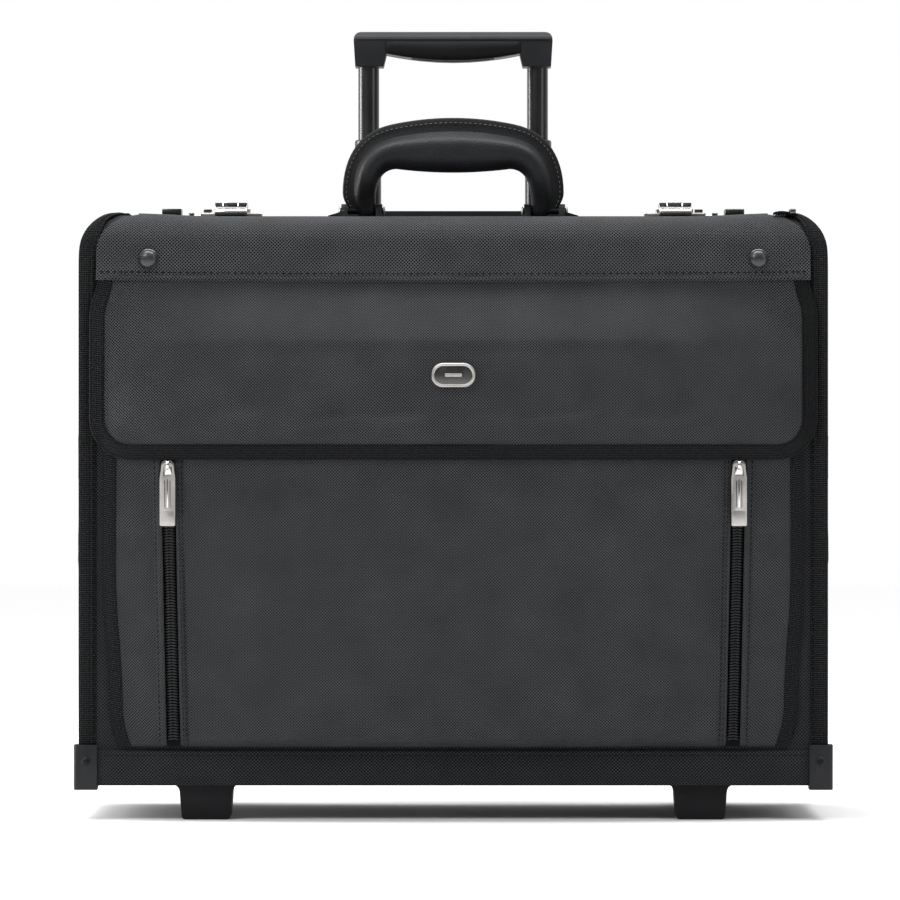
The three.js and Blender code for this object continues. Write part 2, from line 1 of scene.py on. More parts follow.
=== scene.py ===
"""Looks of a pilot rolling flight case: woven nylon over board, ribbed binding, padded carry
handle, nickel locks, zipped front organizer and a telescopic trolley. Metres, +Z up, front at -Y."""

import json
from contextlib import contextmanager
from math import cos, exp, pi, radians, sin, sqrt

import bmesh
import bpy
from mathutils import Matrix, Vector
from mathutils.bvhtree import BVHTree


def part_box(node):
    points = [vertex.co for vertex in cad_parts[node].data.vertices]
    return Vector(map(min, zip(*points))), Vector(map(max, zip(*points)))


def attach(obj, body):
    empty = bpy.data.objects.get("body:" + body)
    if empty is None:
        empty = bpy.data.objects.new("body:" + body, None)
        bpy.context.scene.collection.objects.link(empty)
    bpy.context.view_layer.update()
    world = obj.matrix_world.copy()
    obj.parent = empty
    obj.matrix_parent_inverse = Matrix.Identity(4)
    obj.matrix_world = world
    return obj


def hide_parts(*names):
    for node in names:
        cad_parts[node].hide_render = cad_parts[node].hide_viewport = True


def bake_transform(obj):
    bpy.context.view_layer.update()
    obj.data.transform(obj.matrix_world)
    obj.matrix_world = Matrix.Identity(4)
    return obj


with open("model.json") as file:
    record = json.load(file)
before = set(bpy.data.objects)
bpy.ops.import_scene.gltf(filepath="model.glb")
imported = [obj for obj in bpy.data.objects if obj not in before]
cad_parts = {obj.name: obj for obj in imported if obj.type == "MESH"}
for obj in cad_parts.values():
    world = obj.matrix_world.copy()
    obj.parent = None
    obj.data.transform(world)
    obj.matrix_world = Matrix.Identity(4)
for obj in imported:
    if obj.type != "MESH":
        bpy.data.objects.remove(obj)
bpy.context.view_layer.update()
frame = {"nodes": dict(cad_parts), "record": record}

MM = 0.001
SIDES = (("left", -1), ("right", 1))
BODIES = frame["record"]["behaviour"]["bodies"]
BODY_OF = {node: body for body, nodes in BODIES.items() for node in nodes}

# ---- sizes read from the frame
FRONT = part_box("front_panel")[0].y
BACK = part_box("back_panel")[1].y
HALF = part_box("front_panel")[1].x
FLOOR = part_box("front_panel")[0].z
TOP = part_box("front_panel")[1].z
SHOULDER = 25 * MM
ROLL = 20 * MM
MOUTH_FRONT = FRONT + ROLL
MOUTH_BACK = BACK - ROLL
TAPE = 9 * MM

PANEL_LOW, PANEL_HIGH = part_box("organizer_panel")
GUSSET_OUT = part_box("organizer_gusset_right")[1].x
POCKET_ROOT = 79.5 * MM
POCKET_BULGE = 21.5 * MM
POCKET_TUCK = 14 * MM
# The pocket slopes back to the case over this height at its foot, and from MOUTH_START up at its mouth.
FOOT_SLOPE = 105 * MM
MOUTH_START, MOUTH_SLOPE = 258 * MM, 38 * MM
ZIP_LOW_X = 170 * MM
ZIP_LEAN = 3.4 / 168.2
ZIP_HALF = 5.2 * MM
COIL_TURNS = 96

FLAP_LOW, FLAP_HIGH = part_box("pocket_flap")
FLAP_STAND = 3.6 * MM
FLAP_CORNER = 25 * MM


def smooth(t):
    """An eased step: 0 up to t = 0, 1 from t = 1 on."""
    t = min(1.0, max(0.0, t))
    return t * t * (3 - 2 * t)


def hump(t, power=1.0):
    """0 at t = 0 and t = 1, and 1 half way."""
    return max(0.0, sin(pi * t)) ** power


def spread(a, b, count):
    """count + 1 even steps from a to b."""
    return [a + (b - a) * i / count for i in range(count + 1)]


def cosd(degrees):
    """The cosine of an angle in degrees."""
    return cos(radians(degrees))


def sind(degrees):
    """The sine of an angle in degrees."""
    return sin(radians(degrees))


# ---- node materials
def fill(node, **values):
    """Sets a node's sockets; an underscore stands for a space in a socket's name."""
    for key, value in values.items():
        node.inputs[key.replace("_", " ")].default_value = value


class Nodes:
    """A node tree under construction."""

    def __init__(self, owner):
        owner.use_nodes = True
        self.tree = owner.node_tree

    def node(self, kind, **values):
        """A new shader node with its properties set."""
        made = self.tree.nodes.new("ShaderNode" + kind)
        for key, value in values.items():
            setattr(made, key, value)
        return made

    def link(self, output, target):
        self.tree.links.new(output, target)

    def math(self, operation, *values):
        """The outcome of one operation on numbers and outputs."""
        made = self.node("Math", operation=operation)
        for slot, value in zip(made.inputs, values):
            if isinstance(value, (int, float)):
                slot.default_value = value
            else:
                self.link(value, slot)
        return made.outputs[0]

    def place(self, source):
        """The named texture coordinate, whole and split into its three parts."""
        whole = self.node("TexCoord").outputs[source]
        split = self.node("SeparateXYZ")
        self.link(whole, split.inputs[0])
        return whole, *split.outputs[:3]

    def span(self, value, low, high, start=0.0, stop=1.0, curve="LINEAR"):
        """value brought from start..stop to low..high."""
        made = self.node("MapRange", interpolation_type=curve)
        fill(made, From_Min=start, From_Max=stop, To_Min=low, To_Max=high)
        self.link(value, made.inputs["Value"])
        return made.outputs[0]


class Finish(Nodes):
    """A material under construction: one Principled shader and what feeds it."""

    def __init__(self, name, colour, rough, metal=0.0, **shader):
        self.material = bpy.data.materials.new(name)
        super().__init__(self.material)
        self.shader = self.tree.nodes["Principled BSDF"]
        self.material.diffuse_color = (*colour, 1)
        fill(self.shader, Base_Color=(*colour, 1), Roughness=rough, Metallic=metal, **shader)

    def noise(self, place, scale, detail=3.0):
        """Cloudy noise, with `scale` clouds to a unit of place."""
        made = self.node("TexNoise")
        fill(made, Scale=scale, Detail=detail, Roughness=0.5)
        self.link(place, made.inputs["Vector"])
        return made.outputs["Fac"]

    def ramp(self, value, stops, target):
        """Colours for the shader's target socket; stops are (position, colour) pairs."""
        made = self.node("ValToRGB")
        made.color_ramp.elements[0].position = stops[0][0]
        made.color_ramp.elements[-1].position = stops[-1][0]
        for position, _ in stops[1:-1]:
            made.color_ramp.elements.new(position)
        for element, (_, colour) in zip(made.color_ramp.elements, stops):
            element.color = (*colour, 1)
        self.link(value, made.inputs[0])
        self.link(made.outputs[0], self.shader.inputs[target])

    def vary(self, value, low, high):
        """Roughness from low to high as value goes from 0 to 1."""
        self.link(self.span(value, low, high), self.shader.inputs["Roughness"])

    def bump(self, *layers):
        """layers: (height, depth in metres), from the finest to the broadest."""
        normal = None
        for height, depth in layers:
            made = self.node("Bump")
            fill(made, Strength=1.0, Distance=depth)
            self.link(height, made.inputs["Height"])
            if normal is not None:
                self.link(normal, made.inputs["Normal"])
            normal = made.outputs[0]
        self.link(normal, self.shader.inputs["Normal"])


def grey(value, blue=1.14):
    """A slightly bluish grey."""
    return (value, value * (1 + (blue - 1) * 0.4), value * blue)


def waves(finish, value, period):
    """A sine of one period per `period` metres, from 0 to 1."""
    turned = finish.math("MULTIPLY", value, 2 * pi / period)
    return finish.math("MULTIPLY_ADD", finish.math("SINE", turned), 0.5, 0.5)


def woven(name, pitch, dark, light, rough, use_uv=True, depth=0.16 * MM):
    """Ballistic weave: two diagonal sets of threads with dark diamonds between, cloudy with wear."""
    finish = Finish(name, grey((dark + light) / 2), rough, Sheen_Weight=0.01, Sheen_Roughness=0.5,
                    Specular_IOR_Level=0.1)
    place, x, y, z = finish.place("UV" if use_uv else "Object")
    if use_uv:
        across, along = x, y
    else:
        across = finish.math("ADD", x, y)
        along = finish.math("SUBTRACT", z, finish.math("MULTIPLY", y, 0.6))
    rising = waves(finish, finish.math("ADD", across, along), pitch)
    falling = waves(finish, finish.math("SUBTRACT", across, along), pitch)
    weave = finish.math("MAXIMUM", rising, falling)
    cloud = finish.noise(place, 34, 4)
    fuzz = finish.noise(place, 1900, 2)
    tone = finish.math("MULTIPLY_ADD", cloud, 0.12, finish.math("MULTIPLY", weave, 0.92))
    finish.ramp(tone, [(0.62, grey(dark)), (0.84, grey((dark + light) * 0.22)), (1.0, grey(light))],
                "Base Color")
    finish.vary(cloud, rough - 0.09, rough + 0.1)
    finish.bump((fuzz, 0.03 * MM), (weave, depth), (cloud, 0.35 * MM))
    return finish.material


def ribbed(name, pitch, dark, light):
    """Grosgrain binding: ribs across the tape and a dry broken surface."""
    finish = Finish(name, grey(dark), 0.75, Sheen_Weight=0.01, Specular_IOR_Level=0.08)
    place, x, y, _ = finish.place("UV")
    ribs = waves(finish, y, pitch)
    cross = waves(finish, x, pitch * 0.8)
    grain = finish.noise(place, 900, 3)
    tone = finish.math("MULTIPLY_ADD", ribs, 0.35, finish.math("MULTIPLY", grain, 0.55))
    tone = finish.math("MULTIPLY_ADD", cross, 0.25, tone)
    finish.ramp(tone, [(0.42, grey(dark)), (0.68, grey(light * 0.22)), (0.9, grey(light))], "Base Color")
    finish.vary(grain, 0.62, 0.86)
    finish.bump((grain, 0.12 * MM), (cross, 0.12 * MM), (ribs, 0.3 * MM))
    return finish.material


def grained(name, colour, rough, scale, depth, **shader):
    """Moulded or embossed surface: cell grain, fine noise and broad handling marks."""
    finish = Finish(name, colour, rough, **shader)
    place = finish.place("Object")[0]
    cells = finish.node("TexVoronoi", feature="DISTANCE_TO_EDGE")
    fill(cells, Scale=scale)
    finish.link(place, cells.inputs["Vector"])
    pores = finish.math("MINIMUM", finish.math("MULTIPLY", cells.outputs["Distance"], 3.0), 1.0)
    marks = finish.noise(place, 26, 5)
    fine = finish.noise(place, scale * 2.3, 3)
    light = tuple(c * 1.5 for c in colour)
    dark = tuple(c * 0.72 for c in colour)
    finish.ramp(marks, [(0.3, dark), (0.72, light)], "Base Color")
    finish.vary(marks, rough - 0.07, rough + 0.09)
    finish.bump((fine, depth * 0.35), (pores, depth))
    return finish.material


def plated(name, colour, rough, brush=0.0):
    """Plated metal: faint pitting, smears and, where brushed, fine lines down its length."""
    finish = Finish(name, colour, rough, 1.0)
    place, x, _, _ = finish.place("Object")
    smear = finish.noise(place, 120, 4)
    pits = finish.noise(place, 1500, 2)
    finish.vary(smear, rough * 0.7, rough * 1.5 + 0.03)
    finish.ramp(smear, [(0.25, tuple(c * 0.78 for c in colour)), (0.75, colour)], "Base Color")
    lines = finish.noise(place, 2600, 1) if brush == 0 else waves(finish, x, 0.5 * MM)
    finish.bump((pits, 0.012 * MM), (lines, (0.004 + brush) * MM))
    return finish.material


def lacquered(name, colour, rough):
    """Gloss paint over tube: orange peel under a clear coat, with cloudy rub marks."""
    finish = Finish(name, colour, rough, Coat_Weight=0.45, Coat_Roughness=0.12, Specular_IOR_Level=0.4)
    place = finish.place("Object")[0]
    peel = finish.noise(place, 700, 2)
    rubs = finish.noise(place, 60, 5)
    finish.vary(rubs, rough, rough + 0.16)
    finish.ramp(rubs, [(0.3, colour), (0.8, tuple(c * 1.8 for c in colour))], "Base Color")
    finish.bump((peel, 0.02 * MM))
    return finish.material


VALANCE_CLOTH = woven("ballistic_coarse", 2.1 * MM, 0.0006, 0.088, 0.56, depth=0.24 * MM)
CLOTH = woven("ballistic_fine", 1.85 * MM, 0.0006, 0.078, 0.52, depth=0.2 * MM)
BODY_CLOTH = woven("ballistic_body", 2.1 * MM, 0.0005, 0.040, 0.6, depth=0.22 * MM)
SOLID_CLOTH = woven("ballistic_solid", 1.9 * MM, 0.001, 0.026, 0.6, use_uv=False)
LINING = woven("lining_twill", 1.1 * MM, 0.015, 0.040, 0.7, depth=0.05 * MM)
TAPE_CLOTH = ribbed("grosgrain_tape", 1.3 * MM, 0.0005, 0.042)
ZIP_CLOTH = ribbed("zip_tape_cloth", 0.9 * MM, 0.001, 0.005)
LEATHER = grained("leatherette", (0.0105, 0.011, 0.0125), 0.44, 620, 0.08 * MM, Specular_IOR_Level=0.22)
DARK_LEATHER = grained("leatherette_edge", (0.0045, 0.0048, 0.0055), 0.5, 620, 0.08 * MM,
                       Specular_IOR_Level=0.2)
PLASTIC = grained("moulded_plastic", (0.0125, 0.013, 0.0148), 0.42, 1500, 0.03 * MM,
                  Specular_IOR_Level=0.2)
DARK_PLASTIC = grained("dark_plastic", (0.003, 0.0032, 0.0036), 0.46, 1500, 0.03 * MM,
                       Specular_IOR_Level=0.15)
RUBBER = grained("foot_rubber", (0.008, 0.0083, 0.0092), 0.55, 1100, 0.05 * MM, Specular_IOR_Level=0.12)
COIL = grained("zip_coil", (0.006, 0.0062, 0.0068), 0.32, 1800, 0.01 * MM, Specular_IOR_Level=0.35)
CHROME = plated("nickel_bright", (0.80, 0.79, 0.78), 0.13)
PEWTER = plated("pewter_brushed", (0.53, 0.512, 0.495), 0.38, brush=0.01)
DARK_METAL = plated("gunmetal", (0.15, 0.147, 0.145), 0.22)
CAP_PAINT = lacquered("snap_cap_paint", (0.012, 0.0125, 0.014), 0.32)
GLOSS = lacquered("tube_lacquer", (0.006, 0.0063, 0.0072), 0.24)
THREAD = grained("thread", (0.0025, 0.0026, 0.003), 0.6, 3000, 0.02 * MM, Specular_IOR_Level=0.1)
PALE_THREAD = grained("thread_pale", (0.085, 0.088, 0.092), 0.6, 3000, 0.02 * MM, Specular_IOR_Level=0.2)


# ---- mesh tools
@contextmanager
def editing(mesh):
    """A mesh opened for editing, and written back."""
    bm = bmesh.new()
    bm.from_mesh(mesh)
    yield bm
    bm.to_mesh(mesh)
    bm.free()


def tree_of(piece):
    """A ray caster for a finished piece."""
    bm = bmesh.new()
    bm.from_mesh(piece.data)
    tree = BVHTree.FromBMesh(bm)
    bm.free()
    return tree


def add_piece(mesh, material, body, nodes=()):
    """One object from a mesh, standing for CAD nodes. It rides a body, or none."""
    mesh.materials.clear()
    mesh.materials.append(material)
    piece = bpy.data.objects.new(mesh.name, mesh)
    bpy.context.scene.collection.objects.link(piece)
    if body is not None:
        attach(piece, body)
    if nodes:
        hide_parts(*nodes)
    return piece


def new_piece(name, verts, faces, material, body, uvs=None, replaces=()):
    """One smooth piece from points and faces."""
    mesh = bpy.data.meshes.new(name)
    mesh.from_pydata([tuple(v) for v in verts], [], faces)
    if uvs is not None:
        layer = mesh.uv_layers.new(name="UVMap")
        for loop in mesh.loops:
            layer.data[loop.index].uv = uvs[loop.vertex_index]
    mesh.validate()
    mesh.polygons.foreach_set("use_smooth", [True] * len(mesh.polygons))
    return add_piece(mesh, material, body, replaces)


def strip(name, rows, material, body, wrap=False, caps=False, flip=False, replaces=()):
    """A surface through rows of points. wrap closes each row on itself; caps closes the ends."""
    width = len(rows[0])
    verts, uvs, faces = [], [], []
    runs = [0.0] * width
    for r, row in enumerate(rows):
        if r:
            runs = [run + (b - a).length for run, a, b in zip(runs, rows[r - 1], row)]
        steps = [0.0]
        for a, b in zip(row, row[1:]):
            steps.append(steps[-1] + (b - a).length)
        for point, step, run in zip(row, steps, runs):
            verts.append(point)
            uvs.append((step - steps[-1] / 2, run))
    last = width if wrap else width - 1
    for r in range(len(rows) - 1):
        for c in range(last):
            a, b = r * width + c, r * width + (c + 1) % width
            quad = (a, b, b + width, a + width)
            faces.append(quad[::-1] if flip else quad)
    if caps:
        first = list(range(width))
        end = [len(rows) * width - width + c for c in range(width)]
        faces.append(first if flip else first[::-1])
        faces.append(end[::-1] if flip else end)
    return new_piece(name, verts, faces, material, body, uvs, replaces)


def closed(name, rows, material, body, flip=False, replaces=()):
    """A solid through closed rows of points, with its ends filled."""
    return strip(name, rows, material, body, wrap=True, caps=True, flip=flip, replaces=replaces)


def bake_modifiers(piece):
    """Applies the piece's modifiers to its mesh."""
    graph = bpy.context.evaluated_depsgraph_get()
    piece.data = bpy.data.meshes.new_from_object(piece.evaluated_get(graph))
    piece.modifiers.clear()


def thicken(piece, thickness, inside=None, edge=0.0):
    """Gives a surface its thickness, inward, with an optional lining and a softened edge."""
    if inside is not None:
        piece.data.materials.append(inside)
    modifier = piece.modifiers.new("Thickness", "SOLIDIFY")
    modifier.thickness = thickness
    modifier.offset = -1
    modifier.use_quality_normals = True
    modifier.material_offset = 0 if inside is None else 1
    if edge:
        rim = piece.modifiers.new("Rim", "BEVEL")
        rim.width = edge
        rim.segments = 3
        rim.limit_method = "ANGLE"
        rim.angle_limit = radians(60)
    bake_modifiers(piece)
    sharpen(piece, 50)


def sharpen(piece, degrees):
    """Smooth shading, except over edges that turn by more than `degrees`."""
    piece.data.polygons.foreach_set("use_smooth", [True] * len(piece.data.polygons))
    piece.data.set_sharp_from_angle(angle=radians(degrees))


def refined(node, material, bevel=0.4, segments=2, degrees=40):
    """The CAD solid's own shape with softened edges and smooth round stretches."""
    bm = bmesh.new()
    bm.from_mesh(frame["nodes"][node].data)
    bmesh.ops.remove_doubles(bm, verts=bm.verts, dist=0.002 * MM)
    bmesh.ops.dissolve_limit(bm, angle_limit=radians(2), verts=bm.verts, edges=bm.edges)
    mesh = bpy.data.meshes.new(node + "_surface")
    bm.to_mesh(mesh)
    bm.free()
    piece = add_piece(mesh, material, BODY_OF[node], [node])
    edges = piece.modifiers.new("Edges", "BEVEL")
    edges.width = bevel * MM
    edges.segments = segments
    edges.limit_method = "ANGLE"
    edges.angle_limit = radians(degrees)
    bake_modifiers(piece)
    sharpen(piece, degrees)


def rounded_box(name, low, high, radius, material, body):
    """A small moulded block, in millimetres."""
    mesh = bpy.data.meshes.new(name)
    with editing(mesh) as bm:
        bmesh.ops.create_cube(bm, size=1.0)
        for v in bm.verts:
            v.co = Vector([(a + b) / 2 * MM + c * (b - a) * MM for a, b, c in zip(low, high, v.co)])
        bmesh.ops.bevel(bm, geom=bm.edges[:], offset=radius * MM, segments=3, profile=0.5,
                        affect="EDGES", clamp_overlap=True)
    sharpen(add_piece(mesh, material, body), 40)


def lathe(name, profile, origin, axis, material, body, segments=48, replaces=()):
    """A closed [radius, height] profile in millimetres, turned about axis through origin."""
    axis = Vector(axis).normalized()
    side = axis.orthogonal().normalized()
    other = axis.cross(side)
    rows = []
    for i in range(segments + 1):
        turn = 2 * pi * i / segments
        out = side * cos(turn) + other * sin(turn)
        rows.append([origin + out * (r * MM) + axis * (h * MM) for r, h in profile])
    piece = strip(name, rows, material, body, wrap=True, replaces=replaces)
    with editing(piece.data) as bm:
        bmesh.ops.remove_doubles(bm, verts=bm.verts, dist=0.001 * MM)
        bmesh.ops.recalc_face_normals(bm, faces=bm.faces)
    sharpen(piece, 35)


def relax(piece, held, pressure, slack, cap, frames=14):
    """Cloth simulation of a surface held along its seams: it swells and eases a few millimetres."""
    start = [v.co.copy() for v in piece.data.vertices]
    group = piece.vertex_groups.new(name="held")
    group.add([i for i, co in enumerate(start) if held(co)], 1.0, "REPLACE")
    cloth = piece.modifiers.new("Cloth", "CLOTH")
    cloth.settings.quality = 6
    cloth.settings.mass = 0.25
    cloth.settings.tension_stiffness = 25
    cloth.settings.compression_stiffness = 25
    cloth.settings.shear_stiffness = 8
    cloth.settings.bending_stiffness = 1.5
    cloth.settings.vertex_group_mass = "held"
    cloth.settings.shrink_min = -slack
    cloth.settings.use_pressure = True
    cloth.settings.uniform_pressure_force = pressure
    cloth.settings.effector_weights.gravity = 0.15
    cloth.point_cache.frame_start = 1
    cloth.point_cache.frame_end = frames
    for number in range(1, frames + 1):
        bpy.context.scene.frame_set(number)
    graph = bpy.context.evaluated_depsgraph_get()
    moved = [v.co.copy() for v in piece.evaluated_get(graph).data.vertices]
    piece.modifiers.clear()
    piece.vertex_groups.clear()
    for v, a, b in zip(piece.data.vertices, start, moved):
        step = b - a
        if step.length > cap:
            step *= cap / step.length
        v.co = a + step
    bpy.context.scene.frame_set(1)


def cut_notch(piece, left, right, top):
    """Cuts a rectangle, open at the foot, out of an upright surface."""
    sideways, upward = (1, 0, 0), (0, 0, 1)
    with editing(piece.data) as bm:
        for point, normal in (((left, 0, 0), sideways), ((right, 0, 0), sideways), ((0, 0, top), upward)):
            everything = bm.verts[:] + bm.edges[:] + bm.faces[:]
            bmesh.ops.bisect_plane(bm, geom=everything, plane_co=point, plane_no=normal)
        middles = [(face, face.calc_center_median()) for face in bm.faces]
        inside = [face for face, m in middles if left < m.x < right and m.z < top]
        bmesh.ops.delete(bm, geom=inside, context="FACES")


class Skin:
    """The outer surface of finished pieces, for laying tape and stitches on."""

    def __init__(self, *pieces):
        self.trees = [tree_of(piece) for piece in pieces]

    def front(self, x, z):
        """The point at (x, z) on the frontmost skin and its normal, or None."""
        best = None
        for tree in self.trees:
            hit, normal, _, _ = tree.ray_cast(Vector((x, -1, z)), Vector((0, 1, 0)))
            if hit is not None and (best is None or hit.y < best[0].y):
                best = (hit, normal if normal.y < 0 else -normal)
        return best


def arc(cx, cz, radius, start, stop, count):
    """Points on a circle in XZ, angles in degrees."""
    return [(cx + radius * cosd(a), cz + radius * sind(a)) for a in spread(start, stop, count)]


def mirrored(profile):
    """A [radius, height] profile followed by its mirror image in height 0."""
    return profile + [(r, -h) for r, h in profile[::-1]]


def millimetres(node):
    """A CAD node's lowest and highest corners in millimetres."""
    return [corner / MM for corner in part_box(node)]


def bezier(points, count):
    """A Bezier curve of any degree through its first and last points, in millimetres."""
    out = []
    for t in spread(0, 1, count):
        level = [Vector(p) for p in points]
        while len(level) > 1:
            level = [a.lerp(b, t) for a, b in zip(level, level[1:])]
        out.append(level[0] * MM)
    return out


def resample(path, step):
    """Points of a polyline at an even spacing, with the unit tangent at each."""
    path = [Vector(p) for p in path]
    length = sum((b - a).length for a, b in zip(path, path[1:]))
    count = max(2, round(length / step))
    out, index, covered = [], 0, 0.0
    for target in spread(0, length, count):
        while index < len(path) - 2 and covered + (path[index + 1] - path[index]).length < target:
            covered += (path[index + 1] - path[index]).length
            index += 1
        span = path[index + 1] - path[index]
        part = 0 if span.length == 0 else (target - covered) / span.length
        out.append((path[index] + span * min(1.0, part), span.normalized()))
    return out


def laid_tape(name, path, width, proud, skin, body, material=TAPE_CLOTH):
    """A flat tape laid on a front-facing skin along a path in XZ."""
    rows = []
    for point, tangent in resample(path, 2.5 * MM):
        across = Vector((tangent.y, -tangent.x))
        top, under = [], []
        for part in spread(-0.5, 0.5, 6):
            at = point + across * (part * width)
            hit = skin.front(at.x, at.y)
            if hit is None:
                continue
            lift = proud * (0.55 if abs(part) == 0.5 else 1.0)
            top.append(hit[0] + hit[1] * lift)
            under.append(hit[0] - hit[1] * 0.15 * MM)
        if len(top) == 7:
            rows.append(top + under[::-1])
    return closed(name, rows, material, body, flip=True)


class Stitching:
    """Rows of thread, gathered into one piece for each body."""

    def __init__(self, name, body, material=THREAD, pitch=3.3 * MM, length=2.5 * MM, width=0.62 * MM):
        self.name, self.body, self.material = name, body, material
        self.pitch, self.length, self.width = pitch, length, width
        self.verts, self.faces = [], []

    def stitch(self, centre, along, normal):
        """One stitch: a thread with pointed ends, half sunk in the cloth."""
        side = along.cross(normal).normalized() * self.width / 2
        half = along * self.length / 2
        rise = normal * self.width * 0.55
        base = len(self.verts)
        self.verts += [centre - half, centre + half, centre - half * 0.5 + side, centre + half * 0.5 + side,
                       centre - half * 0.5 - side, centre + half * 0.5 - side,
                       centre - half * 0.5 + rise, centre + half * 0.5 + rise,
                       centre - half * 0.5 - rise, centre + half * 0.5 - rise]
        ring = [(2, 3), (6, 7), (4, 5), (8, 9)]
        for k in range(4):
            (a, b), (c, d) = ring[k], ring[(k + 1) % 4]
            self.faces += [(base + a, base + b, base + d, base + c), (base, base + a, base + c),
                           (base + 1, base + d, base + b)]

    def on_skin(self, path, skin, sink=0.05 * MM):
        """Stitches along a path of (x, z) on the front of a skin, leaving out where it steps."""
        for point, tangent in resample(path, self.pitch):
            hit = skin.front(point.x, point.y)
            ahead = skin.front(point.x + tangent.x * MM, point.y + tangent.y * MM)
            if hit is None or ahead is None or (ahead[0] - hit[0]).length > 3 * MM:
                continue
            self.stitch(hit[0] - hit[1] * sink, (ahead[0] - hit[0]).normalized(), hit[1])

    def along(self, points, normals):
        """Stitches along a path in space, with a normal for each of its points."""
        for point, tangent in resample(points, self.pitch):
            nearest = min(range(len(points)), key=lambda i: (points[i] - point).length)
            self.stitch(point, tangent, normals[nearest])

    def finish(self):
        """Makes the piece of all the stitches so far."""
        piece = new_piece(self.name, self.verts, self.faces, self.material, self.body)
        with editing(piece.data) as bm:
            bmesh.ops.recalc_face_normals(bm, faces=bm.faces)


def sew(name, body, path, skin, *style):
    """A piece with one row of stitches, laid on a skin."""
    thread = Stitching(name, body, *style)
    thread.on_skin(path, skin)
    thread.finish()


# ---- body walls
def half_width(z):
    """Half the width of the front and back faces at height z, rounded in at the shoulders."""
    rise = z - (TOP - SHOULDER)
    if rise <= 0:
        return HALF
    return HALF - SHOULDER + sqrt(max(0.0, SHOULDER**2 - rise**2))


def face_depth(z, edge, facing):
    """Y of the front (facing -1) or back (facing 1) face at height z, rolled in at the top."""
    rise = z - (TOP - ROLL)
    if rise <= 0:
        return edge
    return edge - facing * (ROLL - sqrt(max(0.0, ROLL**2 - rise**2)))


def crown_dip(x):
    """How far the crown of the case settles between its stiff corners."""
    return 1.4 * MM + 2.2 * MM * smooth((203 * MM - abs(x)) / (65 * MM))


def rolled_rows(edge, facing, bottom, proud, trim, crown=0.0, columns=60):
    """Rows of a front or back face from its foot, up and over the rolled edge."""
    heights = [(z, 0.0) for z in spread(bottom, TOP - ROLL, 22)]
    heights += [(TOP - ROLL, radians(a)) for a in spread(0, 90, 10)[1:]]
    rows = []
    for base, turn in heights:
        out = (ROLL + proud) * cos(turn)
        z = base + (ROLL + proud) * sin(turn)
        y = edge - facing * ROLL + facing * out
        reach = half_width(min(z, TOP)) - trim
        swell = crown * hump(smooth((z - bottom) / (TOP - bottom)))
        row = []
        for x in spread(-reach, reach, columns):
            puff = swell * hump((x + reach) / (2 * reach), 0.7)
            row.append(Vector((x, y + facing * puff, z - crown_dip(x) * sin(turn))))
        rows.append(row)
    return rows


front_wall = strip("front_wall", rolled_rows(FRONT, -1, FLOOR, 0, 0.4 * MM), BODY_CLOTH, "case",
                   replaces=["front_panel"])
thicken(front_wall, 4.4 * MM, LINING)
back_wall = strip("back_wall", rolled_rows(BACK, 1, FLOOR, 0, 0.4 * MM, 1.2 * MM), BODY_CLOTH, "case",
                  flip=True, replaces=["back_panel"])
for hand, _ in SIDES:
    well_low, well_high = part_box(f"wheel_housing_{hand}")
    cut_notch(back_wall, well_low.x - 0.4 * MM, well_high.x + 0.4 * MM, well_high.z + 0.4 * MM)
thicken(back_wall, 4.4 * MM, LINING)


def side_rows(side):
    """Rows of a side gusset from its foot, up and over the shoulder to the mouth of the case."""
    stations = [(HALF, z, 0.0) for z in spread(FLOOR, TOP - SHOULDER, 26)]
    for angle in spread(0, 90, 12)[1:]:
        turn = radians(angle)
        stations.append((HALF - SHOULDER + SHOULDER * cos(turn),
                         TOP - SHOULDER + SHOULDER * sin(turn), turn))
    stations.append((HALF - SHOULDER - 3 * MM, TOP, pi / 2))
    rows = []
    for x, z, turn in stations:
        start = face_depth(min(z, TOP), FRONT, -1) + 0.3 * MM
        stop = face_depth(min(z, TOP), BACK, 1) - 0.3 * MM
        lift = hump(smooth((z - FLOOR) / (TOP - FLOOR)))
        row = []
        for y in spread(start, stop, 30):
            puff = 2.4 * MM * lift * hump((y - start) / (stop - start), 0.8)
            out = puff * cos(turn)
            row.append(Vector((side * (x + out), y, z + puff * sin(turn))))
        rows.append(row)
    return rows


for hand, side in SIDES:
    wall = strip(f"side_wall_{hand}", side_rows(side), BODY_CLOTH, "case", flip=side < 0,
                 replaces=[f"side_panel_{hand}"])
    seam = 6 * MM
    relax(wall, lambda co: co.z < FLOOR + 26 * MM or co.z > TOP - SHOULDER
          or co.y < FRONT + seam or co.y > BACK - seam, 1.2, 0.004, 2.5 * MM)
    thicken(wall, 4.4 * MM, LINING)

refined("bottom_panel", SOLID_CLOTH, 0.8)


